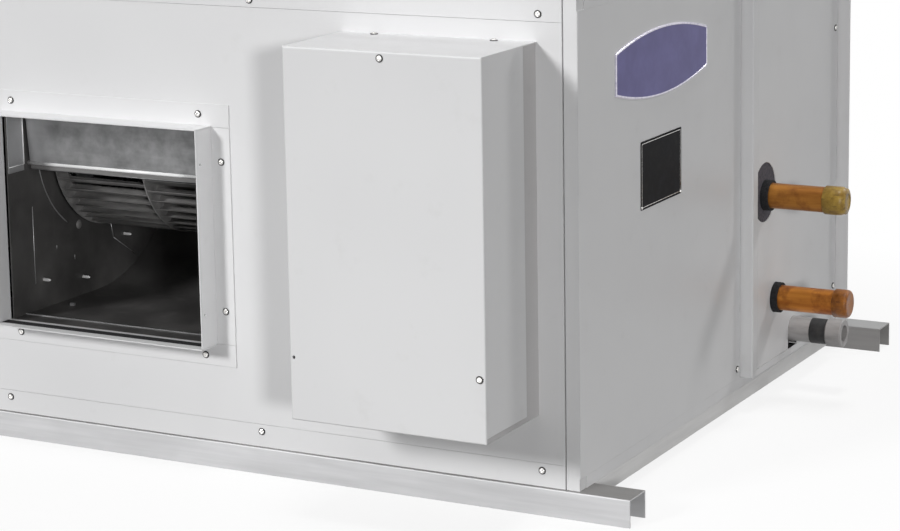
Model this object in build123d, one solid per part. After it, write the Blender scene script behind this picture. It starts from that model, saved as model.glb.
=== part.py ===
from build123d import *
import math
import os

# Ducted air conditioner, in millimetres.
# +X is the side where the pipes come out, -Y is the outlet front, +Z is up.
# The origin is the middle of the whole unit's footprint, at the underside of its rails.

# Casing
CASE_W = 1416.0
CASE_D = 1036.0
CASE_H = 650.0
SHEET = 1.2
FOLD = 15.0
SEAT = 0.3
SEAM = 2.0
POST = 20.0
STRIP_H = 32.0
PAN_EDGE = 16.5

# Rails and beams
RAIL_H = 38.0
RAIL_W = 50.0
RAIL_T = 2.0
RAIL_OVERHANG = 73.0
RAIL_PROUD = 6.0
BEAM_H = 23.0
BEAM_W = 32.0

# Sections along the depth
FAN_D = 563.0
COIL_D = 362.0
COIL_PROUD = 20.0
COIL_SIDE_Z = 17.0
COIL_POST = 18.0
COIL_LIP = 10.0
COIL_FOLD = 6.0
COIL_EDGE_R = 2.5
FLANGE_OUT = 40.0
FLANGE_T = 2.0

# Air outlet
OUTLET_W = 358.0
OUTLET_H = 308.0
OUTLET_OFFSET = 739.0
OUTLET_Z = 295.0
COLLAR_D = 40.0
COLLAR_FLANGE = 31.5
COLLAR_T = 1.5
COLLAR_SCREW_IN_X = 18.5
COLLAR_SCREW_IN_Z = 48.0
DUCT_HOLE_R = 2.0
DUCT_HOLE_D = 30.0

# Blower
OUTLET_CLEAR = 4.0
BLOWER_T = 1.5
WHEEL_R = 140.0
WHEEL_CLEAR = 19.0
WHEEL_DEPTH = 225.0
WHEEL_LIFT = 90.0
BLADE_COUNT = 42
BLADE_DEPTH = 24.0
BLADE_T = 1.0
BLADE_BOW = 4.5
BLADE_LEAN = 6.0
RING_T = 2.0
HUB_R = 24.0
HUB_L = 44.0
CUTOFF_DEPTH = 58.0
HEM_DROP = 79.0
HEM_R = 4.0
INLET_LAP = 10.0
INLET_FLANGE_W = 28.0
INLET_HOLE_GAP = 12.0
INLET_T = 1.5
INLET_GAP = 4.0
FOOT_W = 40.0
FOOT_T = 2.0

# Shaft, bearing and motor
SHAFT_R = 10.0
RUN_GAP = 0.06
BRIDGE_W = 40.0
BRIDGE_T = 3.0
BRIDGE_LIFT = 26.0
BEARING_R = 24.0
BEARING_L = 18.0
MOTOR_R = 76.0
MOTOR_L = 190.0
MOTOR_FROM_INLET = 95.0
MOTOR_WALL = 8.0
MOTOR_BELL_L = 26.0
MOTOR_RIBS = 24
MOTOR_RIB_T = 4.0
MOTOR_RIB_H = 7.0
ROTOR_R = 45.0
ROTOR_GAP = 1.0
STAND_DROP = 60.8
STAND_T = 3.0
CRADLE_T = 24.0
STAND_TOP_W = 110.0
STAND_FOOT_W = 190.0
STAND_L = 130.0

# Coil, headers and pipes
COIL_SETBACK = 39.0
COIL_T = 66.0
COIL_HEADROOM = 37.0
COIL_LEFT = 60.0
FIN_GROOVES = 46
FIN_GROOVE_D = 6.0
BEND_ROWS = 9
BEND_R = 11.0
BEND_LEG = 4.0
BEND_STEPS = 6
TUBE_R = 5.0
TUBE_SIDES = 8
HEADER_INSET = 45.0
HEADER_CLEAR = 11.0
HEADER_LOW = 95.0
HEADER_TOP = 60.0
HEADER_GAP = 3.0
PIPE_R = 19.0
BRANCHES = 7
RETURN_INSET = 13.0
RETURN_Z = 287.0
RETURN_REACH = 148.0
RETURN_CAP = 40.0
SUPPLY_Z = 122.0
SUPPLY_REACH = 139.0
SUPPLY_CAP = 25.0
CAP_WALL = 2.0
CAP_ROUND = 4.0
SLEEVE_T = 4.0
SLEEVE_OUT = 10.0
SLEEVE_IN = 24.0
PIPE_HOLE_R = 45.0
PIPE_HOLE_SHIFT = 5.0
GASKET_LAP = 3.0
GASKET_T = 8.0

# Drain
PAN_AHEAD = 14.0
PAN_BEHIND = 100.0
DRAIN_PAN_MARGIN = 9.0
DRAIN_PAN_Z = 11.5
DRAIN_PAN_H = 68.0
DRAIN_PAN_T = 1.5
DRAIN_INSET = 37.0
DRAIN_LIFT = 44.5
DRAIN_R = 16.0
DRAIN_WALL = 3.0
SPIGOT_T = 3.0
SPIGOT_OUT = 53.0
DRAIN_SLEEVE_T = 3.5
DRAIN_SLEEVE_OUT = 79.0
UNION_T = 6.0
UNION_OUT = 104.0

# Return opening and filter
RETURN_MARGIN_X = 60.0
RETURN_MARGIN_Z = 46.0
RETURN_COLLAR_D = 25.0
RETURN_FLANGE = 28.0
FILTER_FROM_BACK = 52.0
FILTER_T = 14.0
FILTER_BAR = 16.0
FILTER_MARGIN_X = 24.0
FILTER_MARGIN_Z = 34.0
FILTER_GAP = 0.4
FILTER_END_T = 3.0
FILTER_END_LAP = 7.0
MESH_T = 4.0
MESH_CREASES = 44
GUIDE_T = 1.5
GUIDE_H = 14.0
HANDLE_W = 60.0
HANDLE_OUT = 22.0

# Control box
BOX_LEFT = 346.0
BOX_RIGHT = 58.0
BOX_Z = (97.0, 592.0)
BOX_D = 154.0
TRAY_D = 39.0
TRAY_INSET = 1.5
TRAY_LAP = 6.0
TRAY_LIP = 8.0
COVER_EDGE_R = 2.5
BOX_SCREW_EDGE = 6.0
BOX_SCREW_Z = 182.0
BOX_TOP_SCREWS = (114.0, 291.0)
BOX_TOP_SCREW_D = 10.0
BOX_HOLE_R = 2.2
BOARD_W = 170.0
BOARD_H = 190.0
BOARD_T = 2.0
BOARD_LIFT = 12.0
BOARD_POST_R = 3.5
COMPONENT_T = 26.0
TERMINAL_W = 150.0
TERMINAL_COUNT = 9
CONTACTOR_W = 62.0
CONTACTOR_H = 74.0

# Side plates
BADGE_DEPTH = (115.0, 428.0)
BADGE_Z = (507.0, 564.0)
BADGE_CROWN = 19.0
BADGE_T = 2.0
LABEL_DEPTH = (197.0, 336.0)
LABEL_Z = (339.0, 433.0)
LABEL_T = 0.8

# Screws and foam
SCREW_WASHER_R = 5.6
SCREW_WASHER_T = 1.0
SCREW_HEAD_R = 4.2
SCREW_HEAD_T = 2.2
SCREW_EDGE = 22.0
SCREW_FIRST = 55.5
PANEL_SCREWS = 4
SIDE_SCREW_EDGE = 10.0
SIDE_SCREW_Z = 32.0
COVER_SCREW_Z = (85.0, 502.0)
FOAM_T = 10.0
FOAM_MARGIN = 36.0
SMOOTH_SIDES = 12
HEAD_SIDES = 6

# How far the cutters reach past the faces that they open
PAST = 1.0

# Sizes that follow from the ones above
BLOWER_W = OUTLET_W - 2 * OUTLET_CLEAR
WHEEL_W = BLOWER_W - 2 * WHEEL_CLEAR
INLET_R = WHEEL_R - BLADE_DEPTH - INLET_LAP
COLLAR_SCREW_DX = OUTLET_W / 2 - COLLAR_SCREW_IN_X
COLLAR_SCREW_DZ = OUTLET_H / 2 - COLLAR_SCREW_IN_Z
COIL_RIGHT = HEADER_INSET + PIPE_R + HEADER_CLEAR + FOLD
SLEEVE_R = PIPE_R + SLEEVE_T
SPIGOT_R = DRAIN_R + SPIGOT_T
UNION_R = DRAIN_R + UNION_T

# Distances behind the casing's front and above its bottom
WHEEL_Z = OUTLET_Z + WHEEL_LIFT
HEM_Z = OUTLET_Z + OUTLET_H / 2 - HEM_DROP
COIL_DEPTH = FAN_D + COIL_SETBACK
COIL_BACK = COIL_DEPTH + COIL_T
RETURN_DEPTH = COIL_DEPTH + RETURN_INSET
SUPPLY_DEPTH = RETURN_DEPTH + 2 * PIPE_R + HEADER_GAP
PIPE_HOLE_DEPTH = RETURN_DEPTH - PIPE_HOLE_SHIFT
PIPE_HOLE_Z = RETURN_Z + PIPE_HOLE_SHIFT
DRAIN_PAN_DEPTH = (COIL_DEPTH - PAN_AHEAD, COIL_BACK + PAN_BEHIND)
DRAIN_DEPTH = DRAIN_PAN_DEPTH[1] - DRAIN_INSET
DRAIN_Z = DRAIN_PAN_Z + DRAIN_LIFT
FILTER_DEPTH = CASE_D - FILTER_FROM_BACK
FILTER_Z = (FILTER_MARGIN_Z, CASE_H - FILTER_MARGIN_Z)

# Places in the part's frame
SCREW_T = SCREW_WASHER_T + SCREW_HEAD_T
REACH_FRONT = BOX_D + SCREW_T
REACH_BACK = RETURN_COLLAR_D
X_RIGHT = (CASE_W + RAIL_OVERHANG - RETURN_REACH) / 2
X_LEFT = X_RIGHT - CASE_W
X_MID = (X_LEFT + X_RIGHT) / 2
Y_FRONT = (REACH_FRONT - CASE_D - REACH_BACK) / 2
Y_BACK = Y_FRONT + CASE_D
Z_BASE = RAIL_H
Z_TOP = Z_BASE + CASE_H
Y_COIL = Y_FRONT + FAN_D
Y_RETURN = Y_COIL + COIL_D
OUTLET_X = X_RIGHT - OUTLET_OFFSET
WHEEL_Y = Y_FRONT + WHEEL_DEPTH
AXIS_Z = Z_BASE + WHEEL_Z
MIDDLE = Plane.YZ.offset(X_MID)


def block(x, y, z):
    """A box between the low and high limits of each axis."""
    centre = Pos((x[0] + x[1]) / 2, (y[0] + y[1]) / 2, (z[0] + z[1]) / 2)
    return centre * Box(abs(x[1] - x[0]), abs(y[1] - y[0]), abs(z[1] - z[0]))


def tray(x, y, z, mouth, wall=SHEET):
    """A folded sheet pan, open on the side that mouth names."""
    limits = {"x": list(x), "y": list(y), "z": list(z)}
    inner = {axis: [low + wall, high - wall] for axis, (low, high) in limits.items()}
    side = 1 if mouth[0] == "+" else 0
    inner[mouth[1]][side] = limits[mouth[1]][side] + (wall if side else -wall)
    return block(x, y, z) - block(inner["x"], inner["y"], inner["z"])


def from_right(distance):
    """X of a place that far in from the right side of the casing."""
    return X_RIGHT - distance


def depth(distance):
    """Y of a place that far behind the casing's front."""
    return Y_FRONT + distance


def height(distance):
    """Z of a place that far above the casing's bottom."""
    return Z_BASE + distance


def rod(radius, x, y, z):
    """A round bar along X between the two limits in x."""
    return Pos((x[0] + x[1]) / 2, y, z) * Rot(0, 90, 0) * Cylinder(radius, abs(x[1] - x[0]))


def bore_y(radius, x, y, z):
    """A round cutter along Y between the two limits in y."""
    return Pos(x, (y[0] + y[1]) / 2, z) * Rot(90, 0, 0) * Cylinder(radius, abs(y[1] - y[0]))


def turned(points):
    """A solid turned about the X axis from (x, radius) points."""
    return revolve(make_face(Polyline(*points, close=True)), Axis.X, 360)


def left_too(part):
    """The piece and its twin on the left side, as one group."""
    return Compound(children=[part, mirror(part, about=MIDDLE)])


# Rails, beams and base

def channel_along_x(y, overhang=RAIL_OVERHANG):
    """A rail: an open channel, mouth down, with rounded bends along its top."""
    x = (X_LEFT - overhang, X_RIGHT + overhang)
    body = block(x, y, (0, RAIL_H))
    bends = body.edges().filter_by(Axis.X).group_by(Axis.Z)[-1]
    body = fillet(bends, RAIL_T)
    open_y = (y[0] + RAIL_T, y[1] - RAIL_T)
    return body - block((x[0] - RAIL_T, x[1] + RAIL_T), open_y, (-RAIL_T, RAIL_H - RAIL_T))


def front_rail():
    return channel_along_x((Y_FRONT - RAIL_PROUD, Y_FRONT - RAIL_PROUD + RAIL_W))


def rear_rail():
    return channel_along_x((Y_BACK + RAIL_PROUD - RAIL_W, Y_BACK + RAIL_PROUD))


def side_beams():
    """Z-folded beams that join the two rails under the casing's side edges."""
    y = (Y_FRONT - RAIL_PROUD + RAIL_W, Y_BACK + RAIL_PROUD - RAIL_W)
    web = block((X_RIGHT - RAIL_T, X_RIGHT), y, (RAIL_H - BEAM_H, RAIL_H))
    top = block((X_RIGHT - BEAM_W, X_RIGHT), y, (RAIL_H - RAIL_T, RAIL_H))
    foot = block((X_RIGHT - BEAM_W, X_RIGHT), y, (RAIL_H - BEAM_H, RAIL_H - BEAM_H + RAIL_T))
    return left_too(web + top + foot)


def base_pan():
    return tray((X_LEFT, X_RIGHT), (Y_FRONT + POST, Y_BACK), (Z_BASE, height(PAN_EDGE)), "+z")


# Casing

def front_posts():
    x = (X_RIGHT - POST, X_RIGHT - SHEET)
    y = (Y_FRONT, Y_FRONT + POST)
    return left_too(tray(x, y, (Z_BASE, Z_TOP - SHEET), "+y"))


def front_strip(z):
    gap = POST + SEAM
    return tray((X_LEFT + gap, X_RIGHT - gap), (Y_FRONT, Y_FRONT + POST), z, "+y")


def front_sill():
    return front_strip((Z_BASE, height(STRIP_H)))


def front_header():
    return front_strip((Z_TOP - STRIP_H, Z_TOP - SHEET))


def front_panel():
    gap = POST + SEAM
    z = (height(STRIP_H) + SEAT, Z_TOP - STRIP_H - SEAT)
    panel = tray((X_LEFT + gap, X_RIGHT - gap), (Y_FRONT, Y_FRONT + FOLD), z, "+y")
    return panel - outlet_cutter((Y_FRONT - SHEET, Y_FRONT + FOLD), COLLAR_T)


def fan_side_panel():
    """The flat side sheet laps over the post; its folds start behind the post."""
    z = (height(PAN_EDGE), Z_TOP - PAN_EDGE)
    folded = tray((X_RIGHT - FOLD, X_RIGHT), (Y_FRONT + POST, Y_COIL - SEAM), z, "-x")
    lap = block((X_RIGHT - SHEET, X_RIGHT), (Y_FRONT, Y_FRONT + POST), z)
    return folded + lap


def coil_frame():
    """The proud door frame of the coil section: step, post, sill and head."""
    x = (X_RIGHT - COIL_FOLD, X_RIGHT + COIL_PROUD)
    z = (height(COIL_SIDE_Z), Z_TOP - COIL_SIDE_Z)
    shell = block(x, (Y_COIL, Y_RETURN), z)
    corner = shell.edges().filter_by(Axis.Z).group_by(Axis.Y)[0].sort_by(Axis.X)[-1]
    shell = fillet(corner, COIL_EDGE_R)
    open_z = (z[0] + SHEET, z[1] - SHEET)
    hollow = block((x[0] - SHEET, x[1] - SHEET), (Y_COIL + SHEET, Y_RETURN + SHEET), open_z)
    doorway = block(
        (X_RIGHT, x[1] + SHEET),
        (Y_COIL + COIL_POST, Y_RETURN + SHEET),
        (z[0] + COIL_LIP, z[1] - COIL_LIP),
    )
    return shell - hollow - doorway


def coil_cover():
    """The flat cover that fills the door frame, with its folds inward."""
    y = (Y_COIL + COIL_POST + SEAT, Y_RETURN - SEAM)
    inset = COIL_SIDE_Z + COIL_LIP + SEAT
    x = (X_RIGHT + COIL_PROUD - FOLD, X_RIGHT + COIL_PROUD)
    return tray(x, y, (height(inset), Z_TOP - inset), "-x")


def pipe_cover():
    """The right-hand cover, with the pipe holes and the drain notch."""
    through = (X_RIGHT - FOLD, X_RIGHT + COIL_PROUD + FOLD)
    cover = coil_cover()
    cover -= rod(PIPE_HOLE_R, through, depth(PIPE_HOLE_DEPTH), height(PIPE_HOLE_Z))
    cover -= rod(SLEEVE_R + SEAT, through, depth(SUPPLY_DEPTH), height(SUPPLY_Z))
    notch_y = (depth(DRAIN_DEPTH) - SPIGOT_R - SEAT, depth(DRAIN_DEPTH) + SPIGOT_R + SEAT)
    cover -= block(through, notch_y, (Z_BASE, height(DRAIN_Z)))
    cover -= rod(SPIGOT_R + SEAT, through, depth(DRAIN_DEPTH), height(DRAIN_Z))
    return cover


def return_side():
    """The return section's side with the flange that laps the coil section."""
    z = (height(PAN_EDGE), Z_TOP - PAN_EDGE)
    wall = block((X_RIGHT - SHEET, X_RIGHT), (Y_RETURN, Y_BACK), z)
    flange_x = (X_RIGHT - SHEET, X_RIGHT + FLANGE_OUT)
    return wall + block(flange_x, (Y_RETURN, Y_RETURN + FLANGE_T), z)


def filter_slot_side():
    """The left return side, with the slot that the filter pulls out of."""
    wall = mirror(return_side(), about=MIDDLE)
    x = (X_LEFT - SHEET, X_LEFT + 2 * SHEET)
    z = (height(FILTER_Z[0]) - 2 * FILTER_GAP, height(FILTER_Z[1]) + 2 * FILTER_GAP)
    return wall - block(x, (FILTER_Y[0] - 2 * FILTER_GAP, FILTER_Y[1] + 2 * FILTER_GAP), z)


def top_cover():
    folded = tray((X_LEFT, X_RIGHT), (Y_FRONT + POST, Y_BACK), (Z_TOP - PAN_EDGE, Z_TOP), "-z")
    lap = block((X_LEFT, X_RIGHT), (Y_FRONT, Y_FRONT + POST), (Z_TOP - SHEET, Z_TOP))
    return folded + lap


# Angle-strip collars round the outlet and the return opening

def butted_strips(centre_x, centre_z, wide, high, face_y, out_y, flange, wall):
    """Four bent angle strips round an opening; the top and bottom ones run past the side ones' ends."""
    strips = {}
    y_wall = (face_y, out_y)
    y_face = (face_y, face_y + math.copysign(wall, out_y - face_y))
    for side, sign in (("top", 1), ("bottom", -1)):
        edge = centre_z + sign * high / 2
        reach = wide / 2 + flange
        leg = block((centre_x - reach, centre_x + reach), y_face, (edge, edge + sign * flange))
        corner = wide / 2 + wall
        strips[side] = leg + block((centre_x - corner, centre_x + corner), y_wall, (edge, edge + sign * wall))
    for side, sign in (("right", 1), ("left", -1)):
        edge = centre_x + sign * wide / 2
        z = (centre_z - high / 2 + SEAT, centre_z + high / 2 - SEAT)
        leg = block((edge, edge + sign * flange), y_face, z)
        strips[side] = leg + block((edge, edge + sign * wall), y_wall, z)
    return strips


def outlet_cutter(y, grow=0.0):
    x = (OUTLET_X - OUTLET_W / 2 - grow, OUTLET_X + OUTLET_W / 2 + grow)
    z = (height(OUTLET_Z) - OUTLET_H / 2 - grow, height(OUTLET_Z) + OUTLET_H / 2 + grow)
    return block(x, y, z)


def outlet_collar():
    strips = butted_strips(
        OUTLET_X, height(OUTLET_Z), OUTLET_W, OUTLET_H, Y_FRONT, Y_FRONT - COLLAR_D, COLLAR_FLANGE, COLLAR_T
    )
    hole_y = Y_FRONT - DUCT_HOLE_D
    for side, hand in (("left", -1), ("right", 1)):
        wall_x = OUTLET_X + hand * OUTLET_W / 2
        for lift in (-COLLAR_SCREW_DZ, COLLAR_SCREW_DZ):
            cutter = rod(DUCT_HOLE_R, (wall_x - FOLD, wall_x + FOLD), hole_y, height(OUTLET_Z) + lift)
            strips[side] -= cutter
    return strips


RETURN_W = CASE_W - 2 * RETURN_MARGIN_X
RETURN_H = CASE_H - 2 * RETURN_MARGIN_Z
RETURN_MID_Z = height(CASE_H / 2)


def return_collar():
    strips = butted_strips(
        X_MID, RETURN_MID_Z, RETURN_W, RETURN_H, Y_BACK, Y_BACK + RETURN_COLLAR_D, RETURN_FLANGE, COLLAR_T
    )
    return Compound(children=list(strips.values()))


def rear_panel():
    x = (X_LEFT + SHEET + SEAT, X_RIGHT - SHEET - SEAT)
    z = (height(PAN_EDGE) + SEAT, Z_TOP - PAN_EDGE - SEAT)
    panel = tray(x, (Y_BACK - FOLD, Y_BACK), z, "-y")
    x_cut = (X_MID - RETURN_W / 2 - COLLAR_T, X_MID + RETURN_W / 2 + COLLAR_T)
    z_cut = (RETURN_MID_Z - RETURN_H / 2 - COLLAR_T, RETURN_MID_Z + RETURN_H / 2 + COLLAR_T)
    return panel - block(x_cut, (Y_BACK - FOLD, Y_BACK + SHEET), z_cut)


# Blower: scroll, inlets, wheel and drive

SCROLL_FLOOR = height(OUTLET_Z) - OUTLET_H / 2
FLOOR_DROP = AXIS_Z - SCROLL_FLOOR
FRONT_RUN = WHEEL_DEPTH - CUTOFF_DEPTH
SCROLL_STEP = (FLOOR_DROP - FRONT_RUN) / 3
PLATE_X = (OUTLET_X - BLOWER_W / 2, OUTLET_X + BLOWER_W / 2)
Y_MOUTH = Y_FRONT + SHEET
MOUTH_TOP = SCROLL_FLOOR + OUTLET_H
HEM_Y = Y_FRONT + CUTOFF_DEPTH - HEM_R


def scroll_edge(grow):
    """Three quarter arcs from the floor to the cut-off, set out from a small square round the axis."""
    half = SCROLL_STEP / 2
    radii = [FLOOR_DROP - half - turn * SCROLL_STEP + grow for turn in range(3)]
    low = (WHEEL_Y - half, AXIS_Z - half)
    back = (WHEEL_Y + half, AXIS_Z - half)
    high = (WHEEL_Y + half, AXIS_Z + half)
    starts = (-90, 0, 90)
    arcs = [
        CenterArc(centre, radius, start, 90)
        for centre, radius, start in zip((low, back, high), radii, starts)
    ]
    floor = Line((Y_MOUTH, SCROLL_FLOOR - grow), arcs[0] @ 0)
    return floor, arcs


def scroll_wrap():
    floor_in, arcs_in = scroll_edge(0)
    floor_out, arcs_out = scroll_edge(BLOWER_T)
    outline = [floor_in, *arcs_in, floor_out, *arcs_out]
    outline.append(Line(floor_in @ 0, floor_out @ 0))
    outline.append(Line(arcs_in[-1] @ 1, arcs_out[-1] @ 1))
    wrap = extrude(Plane.YZ.offset(PLATE_X[0]) * make_face(outline), BLOWER_W)
    tip = arcs_in[-1] @ 1
    return wrap + block(PLATE_X, (tip.X - BLOWER_T, tip.X), (height(HEM_Z) + HEM_R, tip.Y))


def blower_side():
    """The right side plate: the scroll's outline squared off at the mouth, with the inlet hole."""
    floor, arcs = scroll_edge(BLOWER_T)
    tip = arcs[-1] @ 1
    corner = (Y_MOUTH, tip.Y)
    outline = [floor, *arcs, Line(tip, corner), Line(corner, floor @ 0)]
    plate = extrude(Plane.YZ.offset(PLATE_X[1]) * make_face(outline), BLOWER_T)
    centre = arcs[-1].arc_center
    rise = MOUTH_TOP - centre.Y
    cross = centre.X - math.sqrt(arcs[-1].radius**2 - rise**2)
    plate += block((PLATE_X[1], PLATE_X[1] + BLOWER_T), (Y_MOUTH, cross), (tip.Y, MOUTH_TOP))
    through = (PLATE_X[1] - BLOWER_T, PLATE_X[1] + 2 * BLOWER_T)
    return plate - rod(INLET_R + INLET_HOLE_GAP, through, WHEEL_Y, AXIS_Z)


def about_outlet(part):
    """The twin of a blower piece on the other side of the blower's middle."""
    return mirror(part, about=Plane.YZ.offset(OUTLET_X))


def inlet_rings():
    """Flared inlet rings, screwed on the outside of the side plates."""
    plate_out = BLOWER_W / 2 + BLOWER_T
    lip = WHEEL_W / 2 + INLET_GAP
    profile = [
        (plate_out, INLET_R + INLET_FLANGE_W),
        (plate_out + INLET_T, INLET_R + INLET_FLANGE_W),
        (plate_out + INLET_T, INLET_R + 3 * INLET_T),
        ((plate_out + lip) / 2, INLET_R + INLET_T),
        (lip, INLET_R),
        (lip, INLET_R + INLET_T),
        ((plate_out + lip) / 2, INLET_R + 3 * INLET_T),
        (plate_out, INLET_R + 5 * INLET_T),
    ]
    ring = Pos(OUTLET_X, WHEEL_Y, AXIS_Z) * turned(profile)
    return Compound(children=[ring, about_outlet(ring)])


def cutoff_plate():
    """The sloping plate over the wheel, with its rolled edge."""
    top = Vector(Y_MOUTH, MOUTH_TOP)
    low = Vector(HEM_Y, height(HEM_Z))
    run = (low - top).normalized()
    thick = Vector(-run.Y, run.X) * BLOWER_T
    sheet = make_face(Polyline(top, low, low + thick, top + thick, close=True))
    plate = extrude(Plane.YZ.offset(PLATE_X[0]) * sheet, BLOWER_W)
    return plate + rod(HEM_R, PLATE_X, HEM_Y, height(HEM_Z))


def blower_feet():
    """Two folded stands between the base pan and the scroll's floor."""
    feet = []
    z = (height(SHEET), SCROLL_FLOOR - BLOWER_T)
    y = (Y_FRONT + CUTOFF_DEPTH, WHEEL_Y)
    for x in (PLATE_X[0], PLATE_X[1] - FOOT_W):
        foot = block((x, x + FOOT_W), y, z)
        open_y = (y[0] - PAST, y[1] + PAST)
        foot -= block((x + FOOT_T, x + FOOT_W + PAST), open_y, (z[0] + FOOT_T, z[1] - FOOT_T))
        feet.append(foot)
    return Compound(children=feet)


def blade_face():
    """One forward-curved blade seen along the shaft, at the back of the wheel, bent in three flats."""
    lean = math.radians(BLADE_LEAN)
    inner = Vector(WHEEL_R - BLADE_DEPTH, 0)
    outer = Vector(WHEEL_R * math.cos(lean), -WHEEL_R * math.sin(lean))
    run = outer - inner
    side = Vector(-run.Y, run.X).normalized()
    bend = side * BLADE_BOW
    edge = [inner, inner + run / 3 + bend, outer - run / 3 + bend, outer]
    back = [point + side * BLADE_T for point in reversed(edge)]
    return make_face(Polyline(*edge, *back, close=True))


WHEEL_PLACE = Pos(OUTLET_X, WHEEL_Y, AXIS_Z)
BLADE_RUN = WHEEL_W / 2 - RING_T - RING_T / 2


def wheel_rings():
    """The wheel's centre disc with its hub, and the two end rings."""
    half = WHEEL_W / 2
    inner = WHEEL_R - BLADE_DEPTH
    disc = turned([
        (-RING_T / 2, WHEEL_R),
        (RING_T / 2, WHEEL_R),
        (RING_T / 2, HUB_R),
        (HUB_L / 2, HUB_R),
        (HUB_L / 2, SHAFT_R),
        (-HUB_L / 2, SHAFT_R),
        (-HUB_L / 2, HUB_R),
        (-RING_T / 2, HUB_R),
    ])
    end_ring = turned([(half - RING_T, inner), (half, inner), (half, WHEEL_R), (half - RING_T, WHEEL_R)])
    return WHEEL_PLACE * Compound(children=[disc, end_ring, mirror(end_ring, about=Plane.YZ)])


def fan_blades():
    """Two rings of blades, the left ones half a pitch behind the right ones."""
    blade = extrude(Plane.YZ.offset(RING_T / 2) * blade_face(), BLADE_RUN)
    pitch = 360 / BLADE_COUNT
    blades = []
    for index in range(BLADE_COUNT):
        blades.append(Rot(index * pitch, 0, 0) * blade)
        blades.append(Pos(-BLADE_RUN - RING_T, 0, 0) * Rot((index + 0.5) * pitch, 0, 0) * blade)
    return WHEEL_PLACE * Compound(children=blades)


BRIDGE_X = PLATE_X[0] - BLOWER_T - INLET_T - BRIDGE_LIFT
MOTOR_X = (PLATE_X[1] + MOTOR_FROM_INLET, PLATE_X[1] + MOTOR_FROM_INLET + MOTOR_L)


def shaft_bearing():
    """A bridge over the left inlet that holds the bearing."""
    half = INLET_R + INLET_HOLE_GAP + BRIDGE_LIFT
    inner_x = PLATE_X[0] - BLOWER_T
    y = (WHEEL_Y - BRIDGE_W / 2, WHEEL_Y + BRIDGE_W / 2)
    bridge = block((BRIDGE_X, inner_x), y, (AXIS_Z - half, AXIS_Z + half))
    open_z = (AXIS_Z - half + BRIDGE_T, AXIS_Z + half - BRIDGE_T)
    bridge -= block((BRIDGE_X + BRIDGE_T, inner_x + BRIDGE_T), (y[0] - PAST, y[1] + PAST), open_z)
    bridge += rod(BEARING_R, (BRIDGE_X - BEARING_L, BRIDGE_X), WHEEL_Y, AXIS_Z)
    return bridge - rod(SHAFT_R + RUN_GAP, (BRIDGE_X - 2 * BEARING_L, inner_x), WHEEL_Y, AXIS_Z)


MOTOR_CAVITY = (MOTOR_X[0] + MOTOR_WALL + BEARING_L, MOTOR_X[1] - MOTOR_WALL)


def fan_shaft():
    """The shaft through the wheel, with the motor's rotor turned on it."""
    rotor_x = (MOTOR_CAVITY[0] + ROTOR_GAP, MOTOR_CAVITY[1] - ROTOR_GAP)
    shaft = rod(SHAFT_R, (BRIDGE_X - BEARING_L, rotor_x[1]), WHEEL_Y, AXIS_Z)
    return shaft + rod(ROTOR_R, rotor_x, WHEEL_Y, AXIS_Z)


def motor_body():
    """Motor shell with lengthwise cooling ribs, two chamfered end bells and the shaft's bearing bore."""
    core_r = MOTOR_R - MOTOR_RIB_H
    ribs_x = (MOTOR_X[0] + MOTOR_BELL_L, MOTOR_X[1] - MOTOR_BELL_L)
    shell = turned([
        (MOTOR_X[0], SHAFT_R + RUN_GAP),
        (MOTOR_X[0], MOTOR_R - 2 * MOTOR_WALL),
        (MOTOR_X[0] + MOTOR_WALL, MOTOR_R - MOTOR_RIB_T / 2),
        (ribs_x[0], MOTOR_R - MOTOR_RIB_T / 2),
        (ribs_x[0], core_r),
        (ribs_x[1], core_r),
        (ribs_x[1], MOTOR_R - MOTOR_RIB_T / 2),
        (MOTOR_X[1] - MOTOR_WALL, MOTOR_R - MOTOR_RIB_T / 2),
        (MOTOR_X[1], MOTOR_R - 2 * MOTOR_WALL),
        (MOTOR_X[1], 0),
        (MOTOR_CAVITY[1], 0),
        (MOTOR_CAVITY[1], ROTOR_R + ROTOR_GAP),
        (MOTOR_CAVITY[0], ROTOR_R + ROTOR_GAP),
        (MOTOR_CAVITY[0], SHAFT_R + RUN_GAP),
    ])
    tip = math.sqrt(MOTOR_R**2 - (MOTOR_RIB_T / 2) ** 2)
    rib = block(ribs_x, (-MOTOR_RIB_T / 2, MOTOR_RIB_T / 2), (core_r - PAST, tip))
    shell += [Rot(index * 360 / MOTOR_RIBS, 0, 0) * rib for index in range(MOTOR_RIBS)]
    return Pos(0, WHEEL_Y, AXIS_Z) * shell


def motor_stand():
    """A folded pedestal with sloping flanks, cradle plate on top and feet below."""
    mid = sum(MOTOR_X) / 2
    z_top = AXIS_Z - STAND_DROP
    z_low = height(SHEET)
    foot = STAND_FOOT_W / 2
    top = STAND_TOP_W / 2
    outer = [(-foot, z_low), (foot, z_low), (top, z_top), (-top, z_top)]
    inner = [
        (-foot + 2 * STAND_T, z_low + STAND_T),
        (foot - 2 * STAND_T, z_low + STAND_T),
        (top - STAND_T, z_top - CRADLE_T),
        (-top + STAND_T, z_top - CRADLE_T),
    ]
    plane = Plane.YZ.offset(mid - STAND_L / 2)
    frame = extrude(plane * Pos(WHEEL_Y, 0) * make_face(Polyline(*outer, close=True)), STAND_L)
    frame -= extrude(plane * Pos(WHEEL_Y, 0) * make_face(Polyline(*inner, close=True)), STAND_L)
    return frame - rod(MOTOR_R, MOTOR_X, WHEEL_Y, AXIS_Z)


# Coil, pipes and drain

COIL_X = (X_LEFT + COIL_LEFT, X_RIGHT - COIL_RIGHT)
COIL_Y = (depth(COIL_DEPTH), depth(COIL_BACK))
COIL_Z = (height(DRAIN_PAN_Z + DRAIN_PAN_T), Z_TOP - COIL_HEADROOM)


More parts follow.
